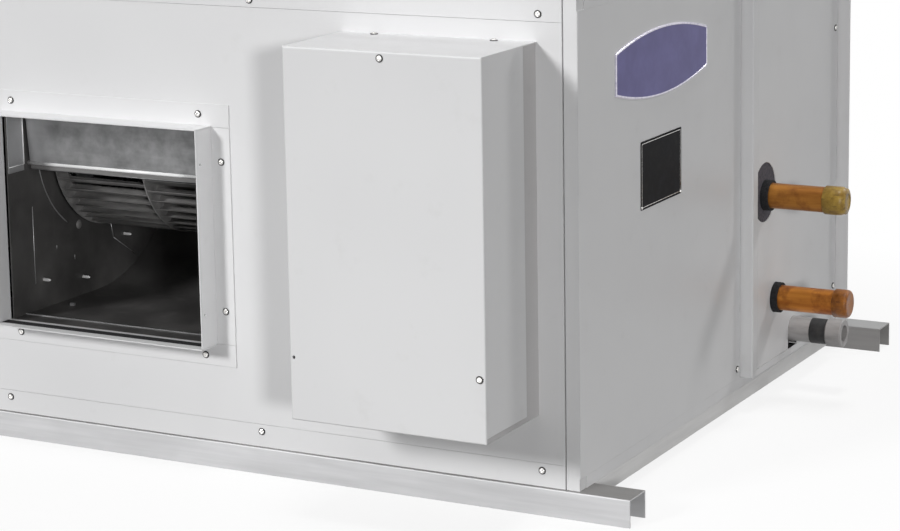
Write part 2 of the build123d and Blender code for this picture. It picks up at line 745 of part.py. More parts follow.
def coil_fins():
    """The fin pack, grooved on both faces where the air goes in and out."""
    x = (COIL_X[0] + SHEET, COIL_X[1] - SHEET)
    z = (COIL_Z[0] + FOLD, COIL_Z[1] - SHEET)
    pack = block(x, COIL_Y, z)
    pitch = (x[1] - x[0]) / FIN_GROOVES
    grooves = []
    for index in range(FIN_GROOVES):
        start = x[0] + (index + 0.25) * pitch
        for y in (COIL_Y[0], COIL_Y[1]):
            span_z = (z[0] - PAST, z[1] + PAST)
            grooves.append(block((start, start + pitch / 2), (y - FIN_GROOVE_D, y + FIN_GROOVE_D), span_z))
    return pack - grooves


def coil_end_plates():
    """Folded end plates that stand in the drain pan and hold the fin pack."""
    right = tray((COIL_X[1] - SHEET, COIL_X[1] + FOLD), COIL_Y, COIL_Z, "+x")
    left = tray((COIL_X[0] - FOLD, COIL_X[0] + SHEET), COIL_Y, COIL_Z, "-x")
    return Compound(children=[right, left])


def return_bends():
    """Copper bends that join neighbouring tube rows at the coil's left end."""
    pitch = (COIL_Z[1] - COIL_Z[0] - 4 * FOLD) / BEND_ROWS
    turns = [math.pi * step / BEND_STEPS for step in range(BEND_STEPS + 1)]
    arc = [(-BEND_LEG - BEND_R * math.sin(turn), 0, BEND_R * math.cos(turn)) for turn in turns]
    path = Polyline((0, 0, BEND_R), *arc, (0, 0, -BEND_R))
    section = Plane(path @ 0, z_dir=path % 0) * RegularPolygon(TUBE_R, TUBE_SIDES)
    bend = sweep(section, path=path, transition=Transition.RIGHT)
    bends = []
    for index in range(BEND_ROWS):
        z = COIL_Z[0] + 2 * FOLD + (index + 0.5) * pitch
        bends.append(Pos(COIL_X[0], sum(COIL_Y) / 2, z) * bend)
    return Compound(children=bends)


def header(y, stub_z, reach):
    """A vertical header with its stub out through the cover and short branches to the coil."""
    x = X_RIGHT - HEADER_INSET
    z = (height(HEADER_LOW), Z_TOP - HEADER_TOP)
    tube = Pos(x, y, (z[0] + z[1]) / 2) * Cylinder(PIPE_R, z[1] - z[0])
    tube += rod(PIPE_R, (x, X_RIGHT + reach), y, stub_z)
    tube -= rod(PIPE_R - CAP_WALL, (X_RIGHT, X_RIGHT + reach + PAST), y, stub_z)
    pitch = (z[1] - z[0]) / BRANCHES
    branch = extrude(Plane.YZ.offset(COIL_X[1]) * RegularPolygon(TUBE_R, TUBE_SIDES), x - COIL_X[1])
    for index in range(BRANCHES):
        tube += Pos(0, y, z[0] + (index + 0.5) * pitch) * branch
    return tube


def header_return():
    return header(depth(RETURN_DEPTH), height(RETURN_Z), RETURN_REACH - CAP_WALL - SEAT)


def header_supply():
    return header(depth(SUPPLY_DEPTH), height(SUPPLY_Z), SUPPLY_REACH - CAP_WALL - SEAT)


def cap(y, z, reach, length):
    """A push-on transport cap with a bevelled end."""
    end = X_RIGHT + reach
    body = rod(PIPE_R + SEAT + CAP_WALL, (end - length, end), y, z)
    body = chamfer(body.edges().filter_by(GeomType.CIRCLE).group_by(Axis.X)[-1], CAP_ROUND / 2)
    return body - rod(PIPE_R + SEAT, (end - length - PAST, end - CAP_WALL), y, z)


def cap_upper():
    return cap(depth(RETURN_DEPTH), height(RETURN_Z), RETURN_REACH, RETURN_CAP)


def cap_lower():
    return cap(depth(SUPPLY_DEPTH), height(SUPPLY_Z), SUPPLY_REACH, SUPPLY_CAP)


def pipe_sleeves():
    """Foam sleeves round the stubs where they pass the cover."""
    face = X_RIGHT + COIL_PROUD
    sleeves = []
    for y, z in ((depth(RETURN_DEPTH), height(RETURN_Z)), (depth(SUPPLY_DEPTH), height(SUPPLY_Z))):
        x = (face - SLEEVE_IN, face + SLEEVE_OUT)
        sleeves.append(rod(SLEEVE_R, x, y, z) - rod(PIPE_R + SEAT, (x[0] - PAST, x[1] + PAST), y, z))
    return Compound(children=sleeves)


def pipe_gasket():
    """The foam pad behind the upper pipe hole, cut straight where the cover's fold runs."""
    x = (X_RIGHT + COIL_PROUD - SHEET - GASKET_T, X_RIGHT + COIL_PROUD - SHEET)
    y = depth(PIPE_HOLE_DEPTH)
    z = height(PIPE_HOLE_Z)
    radius = PIPE_HOLE_R + GASKET_LAP
    fold = Y_COIL + COIL_POST + SHEET + 2 * SEAT
    pad = rod(radius, x, y, z) - block(x, (y - radius, fold), (z - radius, z + radius))
    return pad - rod(SLEEVE_R + SEAT, (x[0] - PAST, x[1] + PAST), depth(RETURN_DEPTH), height(RETURN_Z))


def drain_pan():
    y = (depth(DRAIN_PAN_DEPTH[0]), depth(DRAIN_PAN_DEPTH[1]))
    x = (X_LEFT + DRAIN_PAN_MARGIN, X_RIGHT - DRAIN_PAN_MARGIN)
    pan = tray(x, y, (height(DRAIN_PAN_Z), height(DRAIN_PAN_Z + DRAIN_PAN_H)), "+z", DRAIN_PAN_T)
    return pan - rod(DRAIN_R - DRAIN_WALL, (x[1] - FOLD, x[1] + FOLD), depth(DRAIN_DEPTH), height(DRAIN_Z))


def drain_stub():
    """The drain tube from the pan's wall, with the thicker spigot that shows in the notch."""
    y = depth(DRAIN_DEPTH)
    z = height(DRAIN_Z)
    start = X_RIGHT - DRAIN_PAN_MARGIN
    tube = rod(SPIGOT_R, (start, X_RIGHT + SPIGOT_OUT), y, z)
    tube += rod(DRAIN_R, (start, X_RIGHT + UNION_OUT - DRAIN_R), y, z)
    return tube - rod(DRAIN_R - DRAIN_WALL, (start - PAST, X_RIGHT + UNION_OUT), y, z)


def drain_sleeve():
    y = depth(DRAIN_DEPTH)
    z = height(DRAIN_Z)
    x = (X_RIGHT + SPIGOT_OUT, X_RIGHT + DRAIN_SLEEVE_OUT)
    return rod(DRAIN_R + DRAIN_SLEEVE_T, x, y, z) - rod(DRAIN_R, (x[0] - PAST, x[1] + PAST), y, z)


def drain_union():
    """The end piece that the drain hose goes on."""
    y = depth(DRAIN_DEPTH)
    z = height(DRAIN_Z)
    x = (X_RIGHT + DRAIN_SLEEVE_OUT, X_RIGHT + UNION_OUT)
    body = rod(UNION_R, x, y, z)
    body = chamfer(body.edges().filter_by(GeomType.CIRCLE), DRAIN_WALL / 2)
    body -= rod(DRAIN_R, (x[0] - PAST, x[1] - DRAIN_R), y, z)
    return body - rod(DRAIN_R - DRAIN_WALL, (x[0] - PAST, x[1] + PAST), y, z)


# Return filter

FILTER_Y = (depth(FILTER_DEPTH), depth(FILTER_DEPTH + FILTER_T))


def filter_limits():
    x = (X_LEFT, X_RIGHT - FILTER_MARGIN_X)
    return x, (height(FILTER_Z[0]), height(FILTER_Z[1]))


def filter_frame():
    """The sliding filter frame, its end plate over the slot, and its pull handle."""
    x, z = filter_limits()
    frame = block(x, FILTER_Y, z)
    mid = (x[0] + x[1]) / 2
    for span in ((x[0] + FILTER_BAR, mid - FILTER_BAR / 2), (mid + FILTER_BAR / 2, x[1] - FILTER_BAR)):
        frame -= block(span, (FILTER_Y[0] - PAST, FILTER_Y[1] + PAST), (z[0] + FILTER_BAR, z[1] - FILTER_BAR))
    y_lap = (FILTER_Y[0] - FILTER_END_LAP, FILTER_Y[1] + FILTER_END_LAP)
    z_lap = (z[0] - FILTER_END_LAP, z[1] + FILTER_END_LAP)
    frame += block((X_LEFT - FILTER_GAP - FILTER_END_T, X_LEFT - FILTER_GAP), y_lap, z_lap)
    frame += block((X_LEFT - FILTER_GAP, X_LEFT), FILTER_Y, z)
    grip_z = ((z[0] + z[1] - HANDLE_W) / 2, (z[0] + z[1] + HANDLE_W) / 2)
    grip_x = (X_LEFT - HANDLE_OUT, X_LEFT - FILTER_GAP)
    grip = block(grip_x, FILTER_Y, grip_z)
    window = (grip_z[0] + FILTER_END_T, grip_z[1] - FILTER_END_T)
    hole_x = (grip_x[0] + FILTER_END_T, grip_x[1] - FILTER_END_T)
    hole = block(hole_x, (FILTER_Y[0] - PAST, FILTER_Y[1] + PAST), window)
    return frame + (grip - hole)


def filter_mesh():
    """Two pleated mesh sheets held in the frame's two windows."""
    x, z = filter_limits()
    mid = (x[0] + x[1]) / 2
    y_mid = sum(FILTER_Y) / 2
    bar = FILTER_BAR
    sheets = []
    for low, high in ((x[0] + bar, mid - bar / 2), (mid + bar / 2, x[1] - bar)):
        pitch = (high - low) / MESH_CREASES
        creases = range(MESH_CREASES + 1)
        front = [(low + index * pitch, y_mid - MESH_T / 2 + MESH_T * (index % 2)) for index in creases]
        back = [(px, py + SHEET) for px, py in reversed(front)]
        face = make_face(Polyline(*front, *back, close=True))
        sheets.append(extrude(Plane.XY.offset(z[0] + bar) * face, z[1] - z[0] - 2 * bar))
    return Compound(children=sheets)


def filter_guides():
    """Channel guides above and below the filter, open towards it, on brackets to the rear panel."""
    x, z = filter_limits()
    y = (FILTER_Y[0] - FILTER_GAP - GUIDE_T, FILTER_Y[1] + FILTER_GAP + GUIDE_T)
    ends = (X_LEFT + SHEET + SEAT, x[1] + FILTER_GAP + GUIDE_T)
    guides = []
    low = (z[0] - FILTER_GAP - GUIDE_T, z[0] - FILTER_GAP - GUIDE_T + GUIDE_H)
    high = (z[1] + FILTER_GAP + GUIDE_T - GUIDE_H, z[1] + FILTER_GAP + GUIDE_T)
    for span, shelf in ((low, (low[0], low[0] + GUIDE_T)), (high, (high[1] - GUIDE_T, high[1]))):
        rail = block(ends, y, span)
        open_y = (y[0] + GUIDE_T, y[1] - GUIDE_T)
        rail -= block((ends[0] - PAST, ends[1] - GUIDE_T), open_y, (z[0] - FILTER_GAP, z[1] + FILTER_GAP))
        rail += block((ends[0] + SHEET + SEAT, ends[1]), (y[1], Y_BACK - SHEET), shelf)
        guides.append(rail)
    return Compound(children=guides)


# Control box

BOX_X = (from_right(BOX_LEFT), from_right(BOX_RIGHT))
BOX_SPAN_Z = (height(BOX_Z[0]), height(BOX_Z[1]))


def box_tray():
    """The back tray; its floor runs forward under the cover, with low side lips."""
    x = (BOX_X[0] + TRAY_INSET, BOX_X[1] - TRAY_INSET)
    z = (BOX_SPAN_Z[0], BOX_SPAN_Z[1] - SHEET)
    walls = tray(x, (Y_FRONT - TRAY_D - TRAY_LAP, Y_FRONT), z, "-y")
    floor = tray(x, (Y_FRONT - BOX_D + SHEET, Y_FRONT), (z[0], z[0] + TRAY_LIP), "+z")
    lip_y = (Y_FRONT - BOX_D, Y_FRONT - BOX_D + 2 * SHEET + SEAT)
    floor -= block((x[0] - PAST, x[1] + PAST), lip_y, (z[0] - PAST, z[1]))
    return walls + floor


def box_cover():
    """The cover: front, both sides and top; its front reaches down over the tray's floor."""
    y = (Y_FRONT - BOX_D, Y_FRONT - TRAY_D)
    shell = block(BOX_X, y, BOX_SPAN_Z)
    front_edges = shell.edges().group_by(Axis.Y)[0]
    shell = fillet(front_edges, COVER_EDGE_R)
    hollow = block(
        (BOX_X[0] + SHEET, BOX_X[1] - SHEET),
        (y[0] + SHEET, y[1] + PAST),
        (BOX_SPAN_Z[0] - PAST, BOX_SPAN_Z[1] - SHEET),
    )
    side_cut = block(
        (BOX_X[0] - PAST, BOX_X[1] + PAST),
        (y[0] + 2 * SHEET, y[1] + PAST),
        (BOX_SPAN_Z[0] - PAST, BOX_SPAN_Z[0] + TRAY_LIP),
    )
    top_flap = block(
        (BOX_X[0], BOX_X[1]), (Y_FRONT - TRAY_D, Y_FRONT), (BOX_SPAN_Z[1] - SHEET, BOX_SPAN_Z[1])
    )
    hole_x = BOX_X[0] + BOX_SCREW_EDGE
    hole = bore_y(BOX_HOLE_R, hole_x, (y[0] - PAST, y[0] + FOLD), height(BOX_SCREW_Z))
    return shell - hollow - side_cut + top_flap - hole


# Each component's left, right, bottom and top as shares of the board, and its height as one of the tallest's
BOARD_PARTS = (
    (0.08, 0.40, 0.70, 0.92, 1.00),
    (0.50, 0.90, 0.68, 0.92, 0.70),
    (0.10, 0.30, 0.36, 0.60, 0.85),
    (0.42, 0.92, 0.34, 0.54, 0.35),
    (0.08, 0.92, 0.08, 0.22, 0.50),
)


def control_board():
    """The circuit board on four posts, with the larger components on it."""
    back = Y_FRONT - SHEET
    mid_x = sum(BOX_X) / 2
    top = BOX_SPAN_Z[1] - 3 * FOLD
    x = (mid_x - BOARD_W / 2, mid_x + BOARD_W / 2)
    z = (top - BOARD_H, top)
    board_y = (back - BOARD_LIFT - BOARD_T, back - BOARD_LIFT)
    board = block(x, board_y, z)
    for post_x in (x[0] + FOLD / 2, x[1] - FOLD / 2):
        for post_z in (z[0] + FOLD / 2, z[1] - FOLD / 2):
            board += bore_y(BOARD_POST_R, post_x, (board_y[1], back), post_z)
    for left, right, low, high, tall in BOARD_PARTS:
        part_x = (x[0] + left * BOARD_W, x[0] + right * BOARD_W)
        part_z = (z[0] + low * BOARD_H, z[0] + high * BOARD_H)
        board += block(part_x, (board_y[0] - tall * COMPONENT_T, board_y[0]), part_z)
    return board


def terminal_block():
    """The wiring terminals: a base with upright barriers and a screw between each pair."""
    back = Y_FRONT - SHEET
    x0 = BOX_X[0] + 2 * FOLD
    z = (BOX_SPAN_Z[0] + 4 * FOLD, BOX_SPAN_Z[0] + 6 * FOLD)
    base = block((x0, x0 + TERMINAL_W), (back - FOLD, back), z)
    pitch = (TERMINAL_W - RAIL_T) / TERMINAL_COUNT
    for index in range(TERMINAL_COUNT + 1):
        wall_x = x0 + index * pitch
        base += block((wall_x, wall_x + RAIL_T), (back - 2 * FOLD, back - FOLD), z)
    for index in range(TERMINAL_COUNT):
        mid = x0 + (index + 0.5) * pitch + RAIL_T / 2
        head_z = (z[0] + RAIL_T, z[1] - RAIL_T)
        base += block((mid - RAIL_T, mid + RAIL_T), (back - FOLD - RAIL_T, back - FOLD), head_z)
    return base


def contactor():
    """The motor's contactor: a stepped block on its mounting rail."""
    back = Y_FRONT - SHEET
    x1 = BOX_X[1] - 2 * FOLD
    x = (x1 - CONTACTOR_W, x1)
    z = (BOX_SPAN_Z[0] + 4 * FOLD, BOX_SPAN_Z[0] + 4 * FOLD + CONTACTOR_H)
    mid_z = sum(z) / 2
    body = block(x, (back - CONTACTOR_W, back - RAIL_T), z)
    body += block((x[0] - FOLD / 2, x[1] + FOLD / 2), (back - RAIL_T, back), (mid_z - FOLD, mid_z + FOLD))
    step_y = (back - CONTACTOR_W - PAST, back - CONTACTOR_W + FOLD)
    for step_z in ((z[0] - PAST, z[0] + FOLD), (z[1] - FOLD, z[1] + PAST)):
        body -= block((x[0] - PAST, x[1] + PAST), step_y, step_z)
    return body


# Plates on the fan side panel

def badge_plate():
    """The blank badge: straight ends, arched top and bottom."""
    y = (depth(BADGE_DEPTH[0]), depth(BADGE_DEPTH[1]))
    z = (height(BADGE_Z[0]), height(BADGE_Z[1]))
    mid = (y[0] + y[1]) / 2
    face = make_face([
        ThreePointArc((y[0], z[1]), (mid, z[1] + BADGE_CROWN), (y[1], z[1])),
        Line((y[1], z[1]), (y[1], z[0])),
        ThreePointArc((y[1], z[0]), (mid, z[0] - BADGE_CROWN), (y[0], z[0])),
        Line((y[0], z[0]), (y[0], z[1])),
    ])
    plate = extrude(Plane.YZ.offset(X_RIGHT) * face, BADGE_T)
    return chamfer(plate.edges().group_by(Axis.X)[-1], BADGE_T / 2)


def nameplate():
    y = (depth(LABEL_DEPTH[0]), depth(LABEL_DEPTH[1]))
    z = (height(LABEL_Z[0]), height(LABEL_Z[1]))
    plate = block((X_RIGHT, X_RIGHT + LABEL_T), y, z)
    return fillet(plate.edges().filter_by(Axis.X), RAIL_T)


# Screws

def screw():
    """A washer head, standing on the XY plane."""
    washer = extrude(RegularPolygon(SCREW_WASHER_R, SMOOTH_SIDES), SCREW_WASHER_T)
    head = Pos(0, 0, SCREW_WASHER_T) * extrude(RegularPolygon(SCREW_HEAD_R, HEAD_SIDES), SCREW_HEAD_T)
    return washer + head


def front_screw(x, y, z):
    return Pos(x, y, z) * Rot(90, 0, 0) * screw()


def side_screw(x, y, z):
    return Pos(x, y, z) * Rot(0, 90, 0) * screw()


def panel_screws():
    """Screws of the front strips, the side panels and the coil covers."""
    front = []
    pitch = (CASE_W - 2 * SCREW_FIRST) / (PANEL_SCREWS - 1)
    for index in range(PANEL_SCREWS):
        x = from_right(SCREW_FIRST + index * pitch)
        front.append(front_screw(x, Y_FRONT, height(SCREW_EDGE)))
        front.append(front_screw(x, Y_FRONT, Z_TOP - SCREW_EDGE))
    side = []
    for z in (height(SIDE_SCREW_Z), Z_TOP - SIDE_SCREW_Z):
        side.append(side_screw(X_RIGHT, Y_COIL - SEAM - SIDE_SCREW_EDGE, z))
    for z in COVER_SCREW_Z:
        side.append(side_screw(X_RIGHT + COIL_PROUD, Y_RETURN - SEAM - SIDE_SCREW_EDGE, height(z)))
    return front + side + [mirror(item, about=MIDDLE) for item in side]


def collar_screws():
    """Two screws through each strip of the outlet collar."""
    group = []
    mid = COLLAR_FLANGE / 2 + COLLAR_T
    face = Y_FRONT - COLLAR_T
    for hand in (-1, 1):
        for lift in (-1, 1):
            z = height(OUTLET_Z) + lift * (OUTLET_H / 2 + mid)
            group.append(front_screw(OUTLET_X + hand * COLLAR_SCREW_DX, face, z))
            x = OUTLET_X + hand * (OUTLET_W / 2 + mid)
            group.append(front_screw(x, face, height(OUTLET_Z) + lift * COLLAR_SCREW_DZ))
    return group


def box_screws():
    """Two screws in the cover's front and two in its top flap."""
    front = Y_FRONT - BOX_D
    inset = BOX_SCREW_EDGE + COVER_EDGE_R
    group = [
        front_screw(sum(BOX_X) / 2, front, BOX_SPAN_Z[1] - inset),
        front_screw(BOX_X[1] - inset, front, height(BOX_SCREW_Z)),
    ]
    for distance in BOX_TOP_SCREWS:
        group.append(Pos(from_right(distance), Y_FRONT - BOX_TOP_SCREW_D, BOX_SPAN_Z[1]) * screw())
    return group


def screws():
    return Compound(children=panel_screws() + collar_screws() + box_screws())


def foam_liners():
    """Foam sheets stuck inside the top cover and the fan-section side panels, and under the drain pan."""
    inner = X_RIGHT - SHEET
    side = block(
        (inner - FOAM_T, inner),
        (depth(FOAM_MARGIN), Y_COIL - FOAM_MARGIN),
        (height(FOAM_MARGIN), Z_TOP - FOAM_MARGIN),
    )
    top = block(
        (X_LEFT + FOAM_MARGIN, X_RIGHT - FOAM_MARGIN),
        (depth(FOAM_MARGIN), Y_RETURN),
        (Z_TOP - SHEET - FOAM_T, Z_TOP - SHEET),
    )
    under = block(
        (X_LEFT + FOAM_MARGIN, X_RIGHT - FOAM_MARGIN),
        (depth(DRAIN_PAN_DEPTH[0]), depth(DRAIN_PAN_DEPTH[1])),
        (height(SHEET), height(DRAIN_PAN_Z)),
    )
    return Compound(children=[side, mirror(side, about=MIDDLE), top, under])


COLLAR = outlet_collar()
NODES = {
    "front_rail": front_rail(),
    "rear_rail": rear_rail(),
    "side_beams": side_beams(),
    "base_pan": base_pan(),
    "front_posts": front_posts(),
    "front_sill": front_sill(),
    "front_header": front_header(),
    "front_panel": front_panel(),
    "fan_side_panel_right": fan_side_panel(),
    "fan_side_panel_left": mirror(fan_side_panel(), about=MIDDLE),
    "coil_frame_right": coil_frame(),
    "coil_frame_left": mirror(coil_frame(), about=MIDDLE),
    "coil_cover_right": pipe_cover(),
    "coil_cover_left": mirror(coil_cover(), about=MIDDLE),
    "return_side_right": return_side(),
    "return_side_left": filter_slot_side(),
    "rear_panel": rear_panel(),
    "top_cover": top_cover(),
    "collar_top": COLLAR["top"],
    "collar_right": COLLAR["right"],
    "collar_bottom": COLLAR["bottom"],
    "collar_left": COLLAR["left"],
    "return_collar": return_collar(),
    "scroll_wrap": scroll_wrap(),
    "blower_side_right": blower_side(),
    "blower_side_left": about_outlet(blower_side()),
    "inlet_rings": inlet_rings(),
    "cutoff_plate": cutoff_plate(),
    "blower_feet": blower_feet(),
    "shaft_bearing": shaft_bearing(),
    "wheel_rings": wheel_rings(),
    "fan_blades": fan_blades(),
    "fan_shaft": fan_shaft(),
    "motor_body": motor_body(),
    "motor_stand": motor_stand(),
    "coil_fins": coil_fins(),
    "coil_end_plates": coil_end_plates(),
    "return_bends": return_bends(),
    "header_return": header_return(),
    "header_supply": header_supply(),
    "cap_upper": cap_upper(),
    "cap_lower": cap_lower(),
    "pipe_sleeves": pipe_sleeves(),
    "pipe_gasket": pipe_gasket(),
    "drain_pan": drain_pan(),
    "drain_stub": drain_stub(),
    "drain_sleeve": drain_sleeve(),
    "drain_union": drain_union(),
    "filter_frame": filter_frame(),
    "filter_mesh": filter_mesh(),
    "filter_guides": filter_guides(),
    "box_tray": box_tray(),
    "box_cover": box_cover(),
    "control_board": control_board(),
    "terminal_block": terminal_block(),
    "contactor": contactor(),
    "badge_plate": badge_plate(),
    "nameplate": nameplate(),
    "screws": screws(),
    "foam_liners": foam_liners(),
}

os.makedirs("parts", exist_ok=True)
for name, part in NODES.items():
    export_step(part, f"parts/{name}.step")
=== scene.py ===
import math
import random

import bmesh
import bpy
import numpy as np
from mathutils import Matrix, Vector


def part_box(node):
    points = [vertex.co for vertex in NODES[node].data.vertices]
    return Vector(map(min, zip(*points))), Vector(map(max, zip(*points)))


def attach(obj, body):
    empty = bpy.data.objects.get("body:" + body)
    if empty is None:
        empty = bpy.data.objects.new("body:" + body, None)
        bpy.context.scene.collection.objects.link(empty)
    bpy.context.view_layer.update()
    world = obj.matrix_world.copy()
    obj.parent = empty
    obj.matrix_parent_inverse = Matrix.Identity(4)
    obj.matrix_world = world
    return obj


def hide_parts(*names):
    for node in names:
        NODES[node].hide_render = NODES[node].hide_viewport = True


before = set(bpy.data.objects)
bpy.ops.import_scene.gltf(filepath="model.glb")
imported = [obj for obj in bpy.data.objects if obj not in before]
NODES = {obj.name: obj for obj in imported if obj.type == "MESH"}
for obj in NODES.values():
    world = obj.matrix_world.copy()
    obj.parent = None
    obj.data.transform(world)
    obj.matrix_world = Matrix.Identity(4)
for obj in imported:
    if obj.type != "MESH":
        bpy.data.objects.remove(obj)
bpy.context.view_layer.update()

# Metres, in the part's frame: +X is the pipe side, -Y the outlet front, +Z up.
MM = 0.001
QUARTER = math.pi / 2
TO_RIGHT = Vector((1, 0, 0))
random.seed(7)


def as_vectors(box):
    """The low and the high corner of a box."""
    low, high = box
    return Vector(low), Vector(high)


# Places that the scene shares with the part
PANEL_FRONT, _ = as_vectors(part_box("front_panel"))
_, SIDE_END = as_vectors(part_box("fan_side_panel_right"))
_, PLATE_END = as_vectors(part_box("blower_side_left"))
WHEEL_LOW, WHEEL_HIGH = as_vectors(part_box("wheel_rings"))
MOUTH_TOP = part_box("collar_top")[0][2]
MOUTH_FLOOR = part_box("collar_bottom")[1][2]
Y_FRONT = PANEL_FRONT.y
X_RIGHT = SIDE_END.x
Z_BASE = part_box("front_sill")[0][2]
PLATE_INNER = PLATE_END.x
PLATE_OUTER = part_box("blower_side_right")[0][0]
WHEEL_R = (WHEEL_HIGH.z - WHEEL_LOW.z) / 2
AXIS_Y = (WHEEL_LOW.y + WHEEL_HIGH.y) / 2
AXIS_Z = (WHEEL_LOW.z + WHEEL_HIGH.z) / 2


# Node helpers

# Sockets of the Mix node when it mixes colours
MIX_FIRST, MIX_SECOND, MIX_RESULT = 6, 7, 2


class Finish:
    """A material with its shader, and short ways to add the nodes that it needs."""

    def __init__(self, name, rough=0.5, metal=0.0, specular=0.5):
        self.material = bpy.data.materials.new(name)
        self.material.use_nodes = True
        self.tree = self.material.node_tree
        self.shader = self.tree.nodes["Principled BSDF"]
        self.shader.inputs["Roughness"].default_value = rough
        self.shader.inputs["Metallic"].default_value = metal
        self.shader.inputs["Specular IOR Level"].default_value = specular
        self.place = self.tree.nodes.new("ShaderNodeTexCoord").outputs["Object"]
        self.normal = None

    def node(self, kind, **values):
        made = self.tree.nodes.new(kind)
        for key, value in values.items():
            setattr(made, key, value)
        return made

    def link(self, source, target):
        self.tree.links.new(source, target)

    def stretched(self, x, y, z):
        """The object's own coordinates, with each axis scaled."""
        made = self.node("ShaderNodeMapping")
        made.inputs["Scale"].default_value = (x, y, z)
        self.link(self.place, made.inputs["Vector"])
        return made.outputs["Vector"]

    def noise(self, scale, detail=3.0, rough=0.5, place=None):
        made = self.node("ShaderNodeTexNoise")
        made.inputs["Scale"].default_value = scale
        made.inputs["Detail"].default_value = detail
        made.inputs["Roughness"].default_value = rough
        self.link(place or self.place, made.inputs["Vector"])
        return made.outputs["Fac"]

    def cells(self, scale):
        """One random grey for each cell."""
        made = self.node("ShaderNodeTexVoronoi")
        made.inputs["Scale"].default_value = scale
        self.link(self.place, made.inputs["Vector"])
        grey = self.node("ShaderNodeRGBToBW")
        self.link(made.outputs["Color"], grey.inputs["Color"])
        return grey.outputs["Val"]

    def waves(self, scale, axis):
        made = self.node("ShaderNodeTexWave", bands_direction=axis, wave_profile="SIN")
        made.inputs["Scale"].default_value = scale
        self.link(self.place, made.inputs["Vector"])
        return made.outputs["Fac"]

    def part_of(self, vector, axis):
        made = self.node("ShaderNodeSeparateXYZ")
        self.link(vector, made.inputs["Vector"])
        return made.outputs[axis]

    def ranged(self, value, low, high, out_low, out_high):
        """The value taken from one range to another, and held inside it."""
        made = self.node("ShaderNodeMapRange")
        limits = (("From Min", low), ("From Max", high), ("To Min", out_low), ("To Max", out_high))
        for key, number in limits:
            made.inputs[key].default_value = number
        self.link(value, made.inputs["Value"])
        return made.outputs["Result"]

    def mixed(self, factor, first, second):
        """Two colours mixed by the factor. Each is a tuple or a socket."""
        made = self.node("ShaderNodeMix", data_type="RGBA")
        self.link(factor, made.inputs["Factor"])
        for socket, value in ((made.inputs[MIX_FIRST], first), (made.inputs[MIX_SECOND], second)):
            if isinstance(value, tuple):
                socket.default_value = (*value, 1.0)
            else:
                self.link(value, socket)
        return made.outputs[MIX_RESULT]

    def blend(self, value, low, high, first, second, most=1.0):
        """The first colour where the value is low, and at most that much of the second where it is high."""
        return self.mixed(self.ranged(value, low, high, 0.0, most), first, second)

    def larger(self, first, second):
        made = self.node("ShaderNodeMath", operation="MAXIMUM")
        self.link(first, made.inputs[0])
        self.link(second, made.inputs[1])
        return made.outputs[0]

    def colour(self, value):
        self.link(value, self.shader.inputs["Base Color"])

    def roughness(self, value, smooth, rough, low=0.3, high=0.7):
        """The surface is smooth where the value is low, and rough where it is high."""
        self.link(self.ranged(value, low, high, smooth, rough), self.shader.inputs["Roughness"])

    def rounded(self, radius):
        """Soft edges in the shading only."""
        made = self.node("ShaderNodeBevel", samples=4)
        made.inputs["Radius"].default_value = radius
        self.normal = made.outputs["Normal"]
        self.link(self.normal, self.shader.inputs["Normal"])

    def bumped(self, value, depth, strength=0.5):
        made = self.node("ShaderNodeBump")
        made.inputs["Strength"].default_value = strength
        made.inputs["Distance"].default_value = depth
        self.link(value, made.inputs["Height"])
        if self.normal:
            self.link(self.normal, made.inputs["Normal"])
        self.normal = made.outputs["Normal"]
        self.link(self.normal, self.shader.inputs["Normal"])


# Materials. Noise scales are per metre; a pair of limits says where a tone starts and where it is full.

def painted_sheet(name, dull, pale, worn):
    """Pale enamel on folded sheet: a slow change of tone, orange peel and soft bends."""
    made = Finish(name, rough=0.42, specular=0.28)
    slow = made.noise(2.3, 2.0)
    fine = made.noise(24.0, 4.0, 0.6)
    tone = made.blend(slow, 0.35, 0.65, dull, pale)
    made.colour(made.blend(fine, 0.62, 0.80, tone, worn, most=0.35))
    made.roughness(fine, 0.36, 0.48)
    made.rounded(0.9 * MM)
    made.bumped(made.noise(4.0, 1.0), 6 * MM, 0.25)
    made.bumped(made.noise(700.0, 1.0), 0.05 * MM, 0.35)
    return made.material


def galvanised():
    """Zinc-coated sheet with flat crystal patches and faint brushing."""
    made = Finish("galvanised sheet", rough=0.45, metal=0.85)
    crystals = made.cells(90.0)
    tone = made.mixed(crystals, (0.42, 0.43, 0.44), (0.60, 0.61, 0.62))
    made.colour(made.blend(made.noise(14.0, 4.0), 0.45, 0.75, tone, (0.36, 0.36, 0.36), most=0.5))
    made.roughness(crystals, 0.34, 0.56, low=0.0, high=1.0)
    made.rounded(0.6 * MM)
    made.bumped(made.noise(500.0, 2.0, place=made.stretched(1, 8, 1)), 0.04 * MM, 0.4)
    return made.material


def brushed_zinc(name, stretch, pale, dull):
    """Plain zinc strip, brushed along its length. Its top faces take the dull tone as a painted top tone:
    painted shade on the front rail and the beams, and a little painted light on the rear rail.
    """
    made = Finish(name, rough=0.5, metal=0.25)
    grain = made.noise(70.0, 4.0, 0.62, made.stretched(*stretch))
    cloud = made.noise(7.0, 3.0, 0.6)
    tone = made.blend(grain, 0.35, 0.65, tuple(0.84 * part for part in pale), pale)
    tone = made.blend(cloud, 0.45, 0.7, tone, tuple(0.8 * part for part in pale), most=0.5)
    # Faces that point up take the dull tone: painted shade, and on the rear rail a little painted light.
    painted_top_mask = made.part_of(made.node("ShaderNodeNewGeometry").outputs["Normal"], "Z")
    made.colour(made.blend(painted_top_mask, 0.7, 0.95, tone, dull))
    made.roughness(grain, 0.42, 0.6)
    made.rounded(0.8 * MM)
    made.bumped(grain, 0.06 * MM, 0.35)
    return made.material


